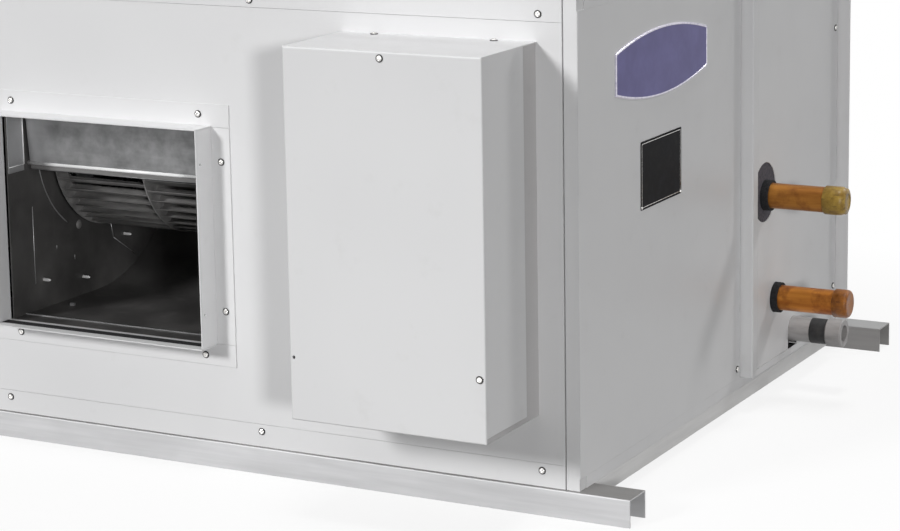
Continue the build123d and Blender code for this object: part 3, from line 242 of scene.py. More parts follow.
def dark_sheet():
    """The blower's sheet in a dark grey that is partly painted shade of the blower's inside, with darker
    patches and paler streaks.
    """
    made = Finish("dark blower sheet", rough=0.55, metal=0.5)
    grime = made.noise(9.0, 6.0, 0.62)
    streaks = made.noise(26.0, 4.0, 0.6, made.stretched(1, 1, 0.12))
    tone = made.blend(grime, 0.35, 0.7, (0.075, 0.073, 0.072), (0.145, 0.141, 0.138))
    made.colour(made.blend(streaks, 0.52, 0.8, tone, (0.20, 0.195, 0.19), most=0.5))
    made.roughness(grime, 0.48, 0.68)
    made.rounded(0.5 * MM)
    made.bumped(made.noise(300.0, 2.0), 0.08 * MM, 0.3)
    return made.material


def cutoff_sheet():
    """The cut-off plate: plain zinc sheet, brighter than the sheet behind it, with a painted reflection
    paling its left end.
    """
    made = Finish("cut-off sheet", rough=0.42, metal=0.6)
    patches = made.noise(32.0, 5.0, 0.6)
    brushed = made.noise(60.0, 3.0, 0.6, made.stretched(0.1, 1, 1))
    tone = made.blend(patches, 0.35, 0.68, (0.15, 0.152, 0.154), (0.26, 0.262, 0.265))
    tone = made.blend(brushed, 0.5, 0.8, tone, (0.38, 0.38, 0.38), most=0.4)
    # Paler towards the left end: a painted reflection, as from a bend in the sheet there.
    glint_from, glint_to = PLATE_INNER + 12 * MM, PLATE_INNER + 60 * MM
    painted_glint = made.ranged(made.part_of(made.place, "X"), glint_from, glint_to, 0.55, 0.0)
    made.colour(made.mixed(painted_glint, tone, (0.62, 0.62, 0.63)))
    made.rounded(0.5 * MM)
    made.bumped(brushed, 0.05 * MM, 0.3)
    return made.material


def rolled_edge():
    """The cut-off plate's rolled edge, near white as a painted highlight; the bars on the ears use it too.
    """
    made = Finish("rolled edge", rough=0.3, specular=0.9)
    glint_noise = made.noise(120.0, 3.0, 0.6, made.stretched(0.1, 1, 1))
    made.colour(made.blend(glint_noise, 0.35, 0.7, (0.96, 0.96, 0.96), (0.88, 0.88, 0.88)))
    return made.material


def lip_sheet():
    """The lip that hangs below the rolled edge: dull zinc with a faint grain."""
    made = Finish("lip sheet", rough=0.5, metal=0.4)
    grain = made.noise(90.0, 3.0, 0.6, made.stretched(0.1, 1, 1))
    made.colour(made.blend(grain, 0.35, 0.7, (0.115, 0.113, 0.112), (0.18, 0.178, 0.176)))
    return made.material


def wheel_sheet():
    """The wheel's blades and rings: grey sheet, paler than the scroll round it."""
    made = Finish("wheel sheet", rough=0.46, metal=0.35)
    dust = made.noise(48.0, 4.0, 0.6, made.stretched(0.35, 1, 1))
    made.colour(made.blend(dust, 0.38, 0.68, (0.20, 0.196, 0.194), (0.33, 0.322, 0.318)))
    made.roughness(dust, 0.4, 0.58)
    made.bumped(dust, 0.05 * MM, 0.3)
    return made.material


def screw_tip_steel():
    """Bare points of screws inside the blower, near white as a painted glint."""
    made = Finish("screw tips with painted glint", rough=0.3, metal=0.35)
    glint_noise = made.noise(120.0, 3.0, 0.6, made.stretched(0.1, 1, 1))
    made.colour(made.blend(glint_noise, 0.35, 0.7, (0.86, 0.86, 0.86), (0.70, 0.70, 0.70)))
    made.roughness(glint_noise, 0.24, 0.4)
    return made.material


def aluminium_fins():
    """Fin stock edges close together: the dark bands between them are painted shade of the gaps, with
    patches of dust over all.
    """
    made = Finish("aluminium fins", rough=0.38, metal=0.9)
    edges = made.waves(157.0, "X")
    tone = made.mixed(edges, (0.24, 0.245, 0.25), (0.78, 0.79, 0.80))
    made.colour(made.blend(made.noise(12.0, 4.0), 0.5, 0.8, tone, (0.45, 0.43, 0.40), most=0.4))
    made.bumped(edges, 0.6 * MM, 0.8)
    return made.material


def copper(name, deep, bright, burnt):
    """Drawn copper: lengthwise streaks, dull patches and a few dark spots."""
    made = Finish(name, rough=0.4, metal=0.55, specular=0.3)
    streaks = made.noise(60.0, 4.0, 0.6, made.stretched(0.12, 1, 1))
    patches = made.noise(34.0, 4.0, 0.62)
    tone = made.blend(streaks, 0.35, 0.65, deep, bright)
    tone = made.blend(patches, 0.50, 0.68, tone, burnt, most=0.75)
    made.colour(made.blend(patches, 0.70, 0.78, tone, (0.08, 0.035, 0.015), most=0.7))
    made.roughness(patches, 0.32, 0.52)
    made.bumped(streaks, 0.06 * MM, 0.3)
    return made.material


def cap_plastic(name, deep, bright, speck):
    """Cloudy thin plastic, mottled and crossed by darker wrinkles."""
    made = Finish(name, rough=0.38, specular=0.4)
    blotch = made.noise(70.0, 4.0, 0.65)
    specks = made.noise(150.0, 3.0, 0.6, made.stretched(0.5, 1.0, 1.6))
    tone = made.blend(blotch, 0.38, 0.64, deep, bright)
    made.colour(made.blend(specks, 0.55, 0.68, tone, speck, most=0.6))
    made.roughness(blotch, 0.28, 0.5)
    made.bumped(blotch, 0.25 * MM, 0.4)
    return made.material


def foam():
    """Closed-cell foam: matte black with small open pores."""
    made = Finish("black foam", rough=0.92, specular=0.25)
    pores = made.noise(420.0, 3.0, 0.6)
    made.colour(made.blend(pores, 0.35, 0.65, (0.009, 0.009, 0.010), (0.030, 0.030, 0.032)))
    made.rounded(0.8 * MM)
    made.bumped(pores, 0.5 * MM, 0.7)
    return made.material


def gasket_foam():
    """The greyer foam sheet behind the large pipe hole."""
    made = Finish("grey gasket foam", rough=0.85, specular=0.3)
    pores = made.noise(260.0, 3.0, 0.6)
    made.colour(made.blend(pores, 0.35, 0.65, (0.060, 0.055, 0.066), (0.105, 0.098, 0.112)))
    made.bumped(pores, 0.3 * MM, 0.5)
    return made.material


def rubber():
    made = Finish("black rubber", rough=0.62, specular=0.35)
    marks = made.noise(60.0, 4.0, 0.6)
    made.colour(made.blend(marks, 0.4, 0.7, (0.020, 0.020, 0.021), (0.055, 0.054, 0.053)))
    made.roughness(marks, 0.5, 0.75)
    made.rounded(0.7 * MM)
    made.bumped(marks, 0.2 * MM, 0.3)
    return made.material


def drain_plastic():
    """Moulded grey pipe with faint scuffs along it."""
    made = Finish("grey drain plastic", rough=0.46)
    scuffs = made.noise(90.0, 4.0, 0.6, made.stretched(0.2, 1, 1))
    made.colour(made.blend(scuffs, 0.45, 0.75, (0.40, 0.388, 0.384), (0.27, 0.26, 0.255)))
    made.roughness(scuffs, 0.4, 0.58)
    made.rounded(0.6 * MM)
    return made.material


def motor_enamel():
    made = Finish("motor enamel", rough=0.4)
    cast = made.noise(140.0, 3.0, 0.6)
    made.colour(made.blend(cast, 0.35, 0.7, (0.055, 0.062, 0.07), (0.10, 0.11, 0.12)))
    made.rounded(0.8 * MM)
    made.bumped(cast, 0.25 * MM, 0.4)
    return made.material


def ground_steel():
    made = Finish("ground steel", rough=0.28, metal=1.0)
    rings = made.noise(220.0, 3.0, 0.6, made.stretched(1, 0.05, 0.05))
    made.colour(made.blend(rings, 0.4, 0.7, (0.50, 0.50, 0.51), (0.64, 0.64, 0.65)))
    made.roughness(rings, 0.22, 0.36)
    return made.material


def filter_aluminium():
    made = Finish("filter frame aluminium", rough=0.4, metal=0.9)
    drawn = made.noise(160.0, 4.0, 0.6, made.stretched(0.05, 1, 1))
    made.colour(made.blend(drawn, 0.35, 0.7, (0.56, 0.57, 0.58), (0.72, 0.73, 0.74)))
    made.rounded(0.6 * MM)
    made.bumped(drawn, 0.04 * MM, 0.3)
    return made.material


def mesh_fabric():
    """Woven dark net, drawn as crossed threads."""
    made = Finish("filter net", rough=0.8, specular=0.3)
    weave = made.larger(made.waves(420.0, "X"), made.waves(420.0, "Z"))
    made.colour(made.blend(weave, 0.55, 0.95, (0.02, 0.021, 0.023), (0.16, 0.165, 0.17)))
    made.bumped(weave, 0.4 * MM, 0.7)
    return made.material


# The board's face stands this far before the casing's front, and what stands out from it is a component.
BOARD_AHEAD = 15.2 * MM
FLAT_LIMIT = 0.5 * MM
RAISED_LIMIT = 1.5 * MM


def circuit_board():
    """Green board with paler tracks, and dark component bodies in front of it."""
    made = Finish("circuit board", rough=0.35)
    face = Y_FRONT - BOARD_AHEAD
    raised = made.ranged(made.part_of(made.place, "Y"), face - RAISED_LIMIT, face - FLAT_LIMIT, 1.0, 0.0)
    board = made.blend(made.cells(140.0), 0.55, 0.7, (0.02, 0.16, 0.07), (0.06, 0.28, 0.14))
    parts = made.blend(made.noise(30.0, 2.0), 0.45, 0.6, (0.03, 0.03, 0.032), (0.16, 0.15, 0.14))
    made.colour(made.mixed(raised, board, parts))
    return made.material


def black_moulding():
    made = Finish("black moulding", rough=0.5)
    grain = made.noise(380.0, 2.0)
    made.colour(made.blend(grain, 0.4, 0.7, (0.022, 0.022, 0.023), (0.05, 0.05, 0.052)))
    made.rounded(0.5 * MM)
    made.bumped(grain, 0.08 * MM, 0.4)
    return made.material


def badge_face():
    """The blank badge's violet-blue lacquer, a little uneven."""
    made = Finish("badge lacquer", rough=0.34, specular=0.3)
    cloud = made.noise(22.0, 3.0, 0.6)
    made.colour(made.blend(cloud, 0.35, 0.7, (0.070, 0.060, 0.235), (0.105, 0.092, 0.310)))
    made.bumped(made.noise(500.0, 1.0), 0.03 * MM, 0.3)
    return made.material


def badge_rim():
    made = Finish("badge rim", rough=0.3, metal=0.7)
    wear = made.noise(180.0, 3.0)
    made.colour(made.blend(wear, 0.45, 0.75, (0.66, 0.64, 0.72), (0.42, 0.40, 0.52)))
    return made.material


def nameplate_foil():
    """Blank black foil with faint handling marks."""
    made = Finish("nameplate foil", rough=0.6, specular=0.03)
    marks = made.noise(48.0, 5.0, 0.65)
    made.colour(made.blend(marks, 0.45, 0.78, (0.009, 0.009, 0.010), (0.026, 0.026, 0.029)))
    made.roughness(marks, 0.42, 0.6)
    return made.material


def bright_zinc():
    made = Finish("bright zinc", rough=0.26, metal=1.0)
    tint = made.noise(260.0, 3.0, 0.6)
    made.colour(made.blend(tint, 0.35, 0.7, (0.58, 0.57, 0.55), (0.80, 0.79, 0.77)))
    made.roughness(tint, 0.2, 0.36)
    return made.material


PAINT = painted_sheet("painted sheet", (0.715, 0.715, 0.722), (0.755, 0.755, 0.76), (0.66, 0.655, 0.65))
# The tray's darker paint is partly a darker finish and partly painted shade of the recess that it stands
# in.
TRAY_PAINT_AND_SHADE = painted_sheet("tray sheet with painted shade", (0.50, 0.49, 0.49), (0.55, 0.54, 0.54), (0.46, 0.45, 0.45))
# The last tone given to each rail and to the beams is its painted top tone.
FRONT_RAIL = brushed_zinc("front rail zinc", (0.06, 1, 1), (0.64, 0.64, 0.65), (0.23, 0.225, 0.22))
# The rear rail is a darker copy of the front rail's zinc: its darker tone is painted shade.
REAR_RAIL_SHADED = brushed_zinc("rear rail zinc with painted shade", (0.06, 1, 1), (0.36, 0.35, 0.345), (0.38, 0.38, 0.38))
BEAM = brushed_zinc("beam zinc", (1, 0.06, 1), (0.70, 0.695, 0.69), (0.50, 0.49, 0.48))
GOLDEN = copper("golden copper", (0.29, 0.105, 0.017), (0.50, 0.215, 0.040), (0.17, 0.055, 0.012))
RED = copper("red copper", (0.33, 0.095, 0.013), (0.56, 0.215, 0.034), (0.15, 0.034, 0.008))
OLIVE_CAP = cap_plastic(
    "olive cap plastic", (0.26, 0.145, 0.016), (0.45, 0.29, 0.052), (0.10, 0.055, 0.008)
)
AMBER_CAP = cap_plastic(
    "amber cap plastic", (0.22, 0.066, 0.005), (0.40, 0.138, 0.014), (0.11, 0.026, 0.003)
)
CUTOFF = cutoff_sheet()
WHEEL = wheel_sheet()
FOAM = foam()
RUBBER = rubber()
BADGE = badge_face()
FOIL = nameplate_foil()
ZINC = bright_zinc()

FINISHES = {
    "base_pan front_posts front_sill front_header front_panel fan_side_panel_right "
    "fan_side_panel_left coil_frame_right coil_frame_left coil_cover_right coil_cover_left "
    "return_side_right return_side_left rear_panel top_cover collar_top collar_right "
    "collar_bottom collar_left return_collar box_cover": PAINT,
    "box_tray": TRAY_PAINT_AND_SHADE,
    "front_rail": FRONT_RAIL,
    "rear_rail": REAR_RAIL_SHADED,
    "side_beams": BEAM,
    "scroll_wrap blower_side_right blower_side_left inlet_rings": dark_sheet(),
    "wheel_rings fan_blades": WHEEL,
    "cutoff_plate": CUTOFF,
    "blower_feet shaft_bearing motor_stand coil_end_plates drain_pan filter_guides": galvanised(),
    "coil_fins": aluminium_fins(),
    "return_bends header_return": GOLDEN,
    "header_supply": RED,
    "pipe_sleeves foam_liners": FOAM,
    "pipe_gasket": gasket_foam(),
    "drain_sleeve": RUBBER,
    "drain_stub drain_union": drain_plastic(),
    "motor_body": motor_enamel(),
    "fan_shaft": ground_steel(),
    "filter_frame": filter_aluminium(),
    "filter_mesh": mesh_fabric(),
    "control_board": circuit_board(),
    "terminal_block contactor": black_moulding(),
    "badge_plate": BADGE,
    "nameplate": FOIL,
}
for names, material in FINISHES.items():
    for name in names.split():
        piece = NODES[name]
        piece.data.materials.clear()
        piece.data.materials.append(material)


# Mesh helpers

def object_from(name, build, materials):
    """A new mesh object made by build(bm)."""
    mesh = bpy.data.meshes.new(name)
    bm = bmesh.new()
    build(bm)
    bmesh.ops.recalc_face_normals(bm, faces=bm.faces)
    bm.to_mesh(mesh)
    bm.free()
    for material in materials:
        mesh.materials.append(material)
    made = bpy.data.objects.new(name, mesh)
    bpy.context.scene.collection.objects.link(made)
    return made


def islands(piece):
    """The vertex clouds of a node's separate solids."""
    points = np.array([vertex.co[:] for vertex in piece.data.vertices])
    _, same = np.unique(np.round(points, 6), axis=0, return_inverse=True)
    same = same.ravel()
    parent = list(range(same.max() + 1))

    def root(index):
        while parent[index] != index:
            parent[index] = parent[parent[index]]
            index = parent[index]
        return index

    for polygon in piece.data.polygons:
        corners = [same[index] for index in polygon.vertices]
        for corner in corners[1:]:
            parent[root(corner)] = root(corners[0])
    groups = {}
    for index, point in enumerate(points):
        groups.setdefault(root(same[index]), []).append(point)
    return [np.array(group) for group in groups.values()]


def lathe(bm, profile, place, segments=24, slot=0, sunk=None):
    """A surface turned about +Z from (radius, height) points, put in place by a matrix."""
    rings = []
    for radius, rise in profile:
        if radius == 0:
            rings.append([bm.verts.new(place @ Vector((0, 0, rise)))])
            continue
        ring = []
        for index in range(segments):
            angle = 2 * math.pi * index / segments
            x, y = radius * math.cos(angle), radius * math.sin(angle)
            drop = sunk(x, y) if sunk else 0.0
            ring.append(bm.verts.new(place @ Vector((x, y, rise - drop))))
        rings.append(ring)
    for low, high in zip(rings, rings[1:]):
        for index in range(segments):
            after = (index + 1) % segments
            lower = [low[index % len(low)], low[after % len(low)]]
            upper = [high[after % len(high)], high[index % len(high)]]
            face = bm.faces.new(list(dict.fromkeys(lower + upper)))
            face.smooth = True
            face.material_index = slot


def block(bm, low, high, slot=0):
    """An axis-aligned block between two corners."""
    middle = (Vector(low) + Vector(high)) / 2
    size = Vector(high) - Vector(low)
    place = Matrix.Translation(middle) @ Matrix.Diagonal((*size, 1))
    made = bmesh.ops.create_cube(bm, size=1.0, matrix=place)
    for face in {face for vertex in made["verts"] for face in vertex.link_faces}:
        face.material_index = slot


def prism(bm, outline, x0, x1):
    """An outline in the YZ plane, drawn out along X."""
    rings = [[bm.verts.new((x, y, z)) for y, z in outline] for x in (x0, x1)]
    bm.faces.new(rings[0])
    bm.faces.new(rings[1][::-1])
    for index in range(len(outline)):
        after = (index + 1) % len(outline)
        bm.faces.new([rings[0][index], rings[0][after], rings[1][after], rings[1][index]])


def standing_on(point, outward):
    """A matrix that stands +Z along outward at the point."""
    return Matrix.Translation(point) @ outward.to_track_quat("Z", "Y").to_matrix().to_4x4()


def bar(bm, radius, start, end, slot=0, segments=16):
    """A round bar between two points."""
    run = Vector(end) - Vector(start)
    profile = [(0, 0), (radius, 0), (radius, run.length), (0, run.length)]
    lathe(bm, profile, standing_on(Vector(start), run.normalized()), segments, slot)


# Screws: a sealing washer, and a domed head with a cross recess

WASHER_R = 5.2 * MM
WASHER_T = 1.1 * MM
WASHER_EDGE = 0.3 * MM
WASHER_TOP_IN = 0.4 * MM
WASHER_UNDER_DOME = 0.5 * MM
DOME_R = 3.9 * MM
DOME_T = 2.0 * MM
DOME_WALL = 0.4 * MM
DOME_SUNK = 0.2 * MM
DOME_RINGS = 9
DOME_SEGMENTS = 32
CROSS_R = 2.3 * MM
CROSS_HALF = 0.55 * MM
CROSS_DEPTH = 0.9 * MM
FOOT_BAND = 0.2 * MM
WASHER_SLOT, DOME_SLOT = 0, 1


def cross_recess(x, y):
    """How far the dome is sunk at a place."""
    inside = min(abs(x), abs(y)) < CROSS_HALF and max(abs(x), abs(y)) < CROSS_R
    return CROSS_DEPTH if inside else 0.0


def screw_head(bm, place):
    """The washer, and the dome that stands on it."""
    washer = [
        (0, 0),
        (WASHER_R - WASHER_EDGE, 0),
        (WASHER_R, WASHER_EDGE),
        (WASHER_R, WASHER_T - WASHER_EDGE),
        (WASHER_R - WASHER_TOP_IN, WASHER_T),
        (DOME_R - WASHER_UNDER_DOME, WASHER_T),
    ]
    lathe(bm, washer, place, slot=WASHER_SLOT)
    shoulder = WASHER_T + DOME_WALL
    dome = [(DOME_R, WASHER_T - DOME_SUNK), (DOME_R, shoulder)]
    for index in range(1, DOME_RINGS):
        turn = index / DOME_RINGS * QUARTER
        dome.append((DOME_R * math.cos(turn), shoulder + (DOME_T - DOME_WALL) * math.sin(turn)))
    dome.append((0, WASHER_T + DOME_T - CROSS_DEPTH))
    lathe(bm, dome, place, segments=DOME_SEGMENTS, slot=DOME_SLOT, sunk=cross_recess)


def all_screw_heads(bm):
    """One head on each of the node's solids, turned at random, with its foot on the sheet."""
    for cloud in islands(NODES["screws"]):
        low, high = cloud.min(axis=0), cloud.max(axis=0)
        middle = (low + high) / 2
        axis = int(np.argmin(high - low))
        radius = np.linalg.norm(np.delete(cloud - middle, axis, axis=1), axis=1)
        base = cloud[radius > radius.max() - FOOT_BAND][:, axis].mean()
        outward = Vector((0, 0, 0))
        outward[axis] = 1.0 if base < middle[axis] else -1.0
        foot = Vector(middle)
        foot[axis] = low[axis] if outward[axis] > 0 else high[axis]
        turn = Matrix.Rotation(random.uniform(0, QUARTER), 4, "Z")
        screw_head(bm, standing_on(foot, outward) @ turn)


heads = object_from("screw_heads", all_screw_heads, [RUBBER, ZINC])
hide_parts("screws")
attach(heads, "casing")


# Transport caps on the pipe stubs

CAP_WALL = 2.0 * MM
CAP_END = 2.2 * MM
CAP_LIP = 0.6 * MM
CAP_LIP_LENGTH = 0.7 * MM
# The dish in the cap's end: shares of the radius, and how deep the end is there
CAP_DISH = ((0.55, 0.3 * MM), (0.3, 0.7 * MM), (0, 0.8 * MM))
RIM_STEPS = 6
CAP_SEGMENTS = 48


def pipe_cap(name, body, bare, rim, material):
    """A push-on cap with a rounded rim and a slight dish; the pipe's bare length shows before it."""
    low, high = as_vectors(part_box(name))
    centre = Vector((low.x + bare, (low.y + high.y) / 2, (low.z + high.z) / 2))
    radius = (high.y - low.y) / 2
    length = high.x - low.x - bare
    inner = radius - CAP_WALL
    profile = [(0, length - CAP_END), (inner, length - CAP_END), (inner, CAP_LIP), (radius - CAP_LIP, 0)]
    profile += [(radius, CAP_LIP_LENGTH), (radius, length / 2), (radius, length - rim)]
    for index in range(1, RIM_STEPS + 1):
        turn = index / RIM_STEPS * QUARTER
        profile.append((radius - rim + rim * math.cos(turn), length - rim + rim * math.sin(turn)))
    profile += [(radius * share, length - depth) for share, depth in CAP_DISH]

    def build(bm):
        lathe(bm, profile, standing_on(centre, TO_RIGHT), segments=CAP_SEGMENTS)

    made = object_from(f"{name}_skin", build, [material])
    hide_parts(name)
    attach(made, body)


pipe_cap("cap_upper", "upper_cap", bare=6 * MM, rim=11 * MM, material=OLIVE_CAP)
pipe_cap("cap_lower", "lower_cap", bare=2 * MM, rim=5 * MM, material=AMBER_CAP)


# Blank badge and nameplate: a face and a thin rim, and two rivets on the nameplate

FACE_SLOT, RIM_SLOT = 0, 1
BADGE_SHOULDER = 28.5 * MM
BADGE_STEPS = 24
PLATE_CORNER_R = 2 * MM
CORNER_STEPS = 5
RIVET_INSET = 3 * MM
RIVET = ((2.0 * MM, -0.4 * MM), (2.0 * MM, 0.2 * MM), (1.2 * MM, 0.9 * MM), (0, 1.1 * MM))


def arched_outline(low, high, inset):
    """Points round the badge: straight ends, arched top and bottom."""
    y0, y1 = low.y + inset, high.y - inset
    z_mid = (low.z + high.z) / 2
    rise = (high.z - low.z) / 2 - inset
    shoulder = BADGE_SHOULDER - inset
    points = []
    for sign in (1, -1):
        for index in range(BADGE_STEPS + 1):
            along = index / BADGE_STEPS
            across = (2 * along - 1) ** 2
            y = y0 + (y1 - y0) * along if sign > 0 else y1 - (y1 - y0) * along
            points.append((y, z_mid + sign * (rise - (rise - shoulder) * across)))
    return points


def rounded_outline(low, high, inset):
    """Points round the nameplate, with its four corners rounded."""
    points = []
    corners = ((high.y, high.z, 0), (low.y, high.z, 1), (low.y, low.z, 2), (high.y, low.z, 3))
    for y, z, quarter in corners:
        back = inset + PLATE_CORNER_R
        cy = y - back if y == high.y else y + back
        cz = z - back if z == high.z else z + back
        for index in range(CORNER_STEPS + 1):
            angle = (quarter + index / CORNER_STEPS) * QUARTER
            points.append((cy + PLATE_CORNER_R * math.cos(angle), cz + PLATE_CORNER_R * math.sin(angle)))
    return points


def raised_plate(bm, loops):
    """Stacked outlines joined by walls: loops are (points, x, slot of the band up to the next one)."""
    rings = [[bm.verts.new((x, y, z)) for y, z in points] for points, x, _ in loops]
    for (low, high), (_, _, slot) in zip(zip(rings, rings[1:]), loops):
        for index in range(len(low)):
            after = (index + 1) % len(low)
            face = bm.faces.new([low[index], low[after], high[after], high[index]])
            face.material_index = slot
    bm.faces.new(rings[0]).material_index = RIM_SLOT
    bm.faces.new(rings[-1]).material_index = FACE_SLOT


def badge():
    """Steps from back to face: how far in, at which X, and what covers the band up to the next step."""
    low, high = as_vectors(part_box("badge_plate"))
    steps = (
        (0.0, low.x, RIM_SLOT),
        (0.0, low.x + 1.2 * MM, RIM_SLOT),
        (0.8 * MM, high.x, RIM_SLOT),
        (2.4 * MM, high.x, RIM_SLOT),
        (2.8 * MM, high.x - 0.5 * MM, FACE_SLOT),
    )
    loops = [(arched_outline(low, high, inset), x, slot) for inset, x, slot in steps]
    return object_from("blank_badge", lambda bm: raised_plate(bm, loops), [BADGE, badge_rim()])


def nameplate():
    """Steps as on the badge, and the two rivets."""
    low, high = as_vectors(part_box("nameplate"))
    steps = (
        (0.0, low.x, FACE_SLOT),
        (0.0, high.x, FACE_SLOT),
        (3.0 * MM, high.x, RIM_SLOT),
        (3.7 * MM, high.x, FACE_SLOT),
    )
    loops = [(rounded_outline(low, high, inset), x, slot) for inset, x, slot in steps]

    def build(bm):
        raised_plate(bm, loops)
        for y in (low.y + RIVET_INSET, high.y - RIVET_INSET):
            place = standing_on(Vector((high.x, y, low.z + RIVET_INSET)), TO_RIGHT)
            lathe(bm, RIVET, place, segments=16, slot=RIM_SLOT)

    return object_from("blank_nameplate", build, [FOIL, ZINC])


for made, node in ((badge(), "badge_plate"), (nameplate(), "nameplate")):
    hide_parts(node)
    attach(made, "casing")


# Fan wheel: two rows of blades that curve forward

BLADES = 48
BLADE_DEPTH = 24 * MM
BLADE_T = 1.0 * MM
BLADE_TURN = math.radians(5.9)
BLADE_CURVE = 3.3
BLADE_STEPS = 8
DISC_HALF = 1.0 * MM


def blade_outline(radius, turn):
    """(y, z) points round one blade's section: down its hollow face and back up the other."""
    faces = []
    for lift in (0.0, BLADE_T):
        face = []
        for index in range(BLADE_STEPS + 1):
            share = index / BLADE_STEPS
            angle = turn - BLADE_TURN * share ** BLADE_CURVE
            reach = radius - BLADE_DEPTH * (1 - share)
            along = Vector((math.cos(angle), math.sin(angle)))
            across = Vector((-along.y, along.x))
            face.append(Vector((AXIS_Y, AXIS_Z)) + along * reach + across * lift)
        faces.append(face)
    return faces[0] + faces[1][::-1]


def blade_rows(bm):
    """The second row stands half a pitch on from the first."""
    low, high = as_vectors(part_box("fan_blades"))
    middle = (low.x + high.x) / 2
    pitch = 2 * math.pi / BLADES
    for x0, x1, shift in ((middle + DISC_HALF, high.x, 0.0), (low.x, middle - DISC_HALF, 0.5)):
        for index in range(BLADES):
            prism(bm, blade_outline(WHEEL_R - BLADE_T, (index + shift) * pitch), x0, x1)


blades = object_from("curved_blades", blade_rows, [WHEEL])
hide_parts("fan_blades")
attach(blades, "fan_rotor")


# Cut-off plate: a steep sheet with a rolled edge in painted highlight, a lip under it and an ear on each
# side plate

HEM_BELOW_TOP = 84 * MM
HEM_DEPTH = 52 * MM
HEM_R = 2.9 * MM
PLATE_TOP_DEPTH = 44 * MM
PLATE_T = 1.5 * MM
LIP_DROP = 9 * MM
LIP_EDGE_R = 0.6 * MM
EAR_FRONT_DEPTH = 3 * MM
EAR_BACK_DEPTH = 39 * MM
EAR_UPRIGHT_R = 1.0 * MM
EAR_LEVEL_R = 0.7 * MM
END_GAP = 4 * MM
ROLL_GLINT_SLOT, LIP_SLOT = 1, 2


def cutoff(bm):
    """The sheet, its lip, the rolled edge between them, and the ears; the roll and the thin bars along the
    ears' edges are near white, as painted highlights.
    """
    hem_z = MOUTH_TOP - HEM_BELOW_TOP
    hem_y = Y_FRONT + HEM_DEPTH
    lip_z = hem_z - LIP_DROP
    top_y = Y_FRONT + PLATE_TOP_DEPTH
    front_y = Y_FRONT + EAR_FRONT_DEPTH
    back_y = Y_FRONT + EAR_BACK_DEPTH
    under_z = MOUTH_TOP - PLATE_T
    sheet = [
        (front_y, MOUTH_TOP),
        (top_y, MOUTH_TOP),
        (hem_y, hem_z),
        (hem_y - PLATE_T, hem_z),
        (top_y - PLATE_T, under_z),
        (front_y, under_z),
    ]
    x0, x1 = PLATE_INNER + END_GAP, PLATE_OUTER - END_GAP
    prism(bm, sheet, x0, x1)
    block(bm, (x0, hem_y, lip_z), (x1, hem_y + PLATE_T, hem_z), LIP_SLOT)
    bar(bm, HEM_R, (PLATE_INNER, hem_y, hem_z), (PLATE_OUTER, hem_y, hem_z), ROLL_GLINT_SLOT)
    bar(bm, LIP_EDGE_R, (x0, hem_y, lip_z), (x1, hem_y, lip_z))
    for x, inward in ((PLATE_INNER, 1), (PLATE_OUTER, -1)):
        face = x + inward * PLATE_T
        block(bm, (x, front_y, lip_z), (face, back_y, under_z))
        bar(bm, EAR_UPRIGHT_R, (face, back_y, hem_z), (face, back_y, under_z), ROLL_GLINT_SLOT)
        bar(bm, EAR_LEVEL_R, (face, front_y, hem_z), (face, back_y, hem_z), ROLL_GLINT_SLOT)


plate_skin = object_from("cutoff_skin", cutoff, [CUTOFF, rolled_edge(), lip_sheet()])
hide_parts("cutoff_plate")
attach(plate_skin, "casing")


# Inside of the outlet. A pair is a place on the left plate: mm behind the front and mm above the bottom.

SCREW_TIPS = ((286, 213), (76, 184), (174, 168))
TIP = ((2.6 * MM, -0.5 * MM), (2.6 * MM, 9 * MM), (1.4 * MM, 12 * MM), (0, 13.5 * MM))
DIMPLE = (169, 250)
DIMPLE_DOME = ((7.0 * MM, 0), (5.5 * MM, 0.9 * MM), (3.0 * MM, 1.7 * MM), (0, 2.0 * MM))
SEAM = ((250, 241), (256, 213), (310, 178))
UPRIGHT_SEAM = ((56, 181), (56, 298))
SCRATCHES = (((111, 223), (111, 229)), ((155, 199), (155, 206)))
SEAM_R = 0.7 * MM
SCRATCH_R = 0.6 * MM
LINE_SEGMENTS = 8
BEAD_R = 152 * MM
BEAD_HALF = 1.1 * MM
BEAD_RISE = 1.2 * MM
BEAD_ANGLES = (150, 236)
BEAD_STEPS = 20
TIP_SLOT, GAP_SHADE_SLOT, ZINC_SLOT, DIMPLE_SLOT = 0, 1, 2, 3
inside_finishes = [screw_tip_steel(), FOAM, CUTOFF, WHEEL]


def on_plate(distance, lift):
    """A place on the left plate's inner face."""
    return Vector((PLATE_INNER, Y_FRONT + distance * MM, Z_BASE + lift * MM))


def bead(bm):
    """A low ridge pressed round the inlet, which runs out towards its lower end. It is drawn in the paler
    zinc, which paints a highlight along the ridge.
    """
    first_angle, last_angle = BEAD_ANGLES
    rows = []
    for index in range(BEAD_STEPS + 1):
        share = index / BEAD_STEPS
        angle = math.radians(first_angle + (last_angle - first_angle) * share)
        row = []
        for offset, lift in ((-BEAD_HALF, 0.0), (0.0, BEAD_RISE * (1 - share)), (BEAD_HALF, 0.0)):
            y = AXIS_Y + (BEAD_R + offset) * math.cos(angle)
            z = AXIS_Z + (BEAD_R + offset) * math.sin(angle)
            row.append(bm.verts.new((PLATE_INNER + lift, y, z)))
        rows.append(row)
    for first, second in zip(rows, rows[1:]):
        for side in (0, 1):
            face = bm.faces.new([first[side], first[side + 1], second[side + 1], second[side]])
            face.material_index = ZINC_SLOT


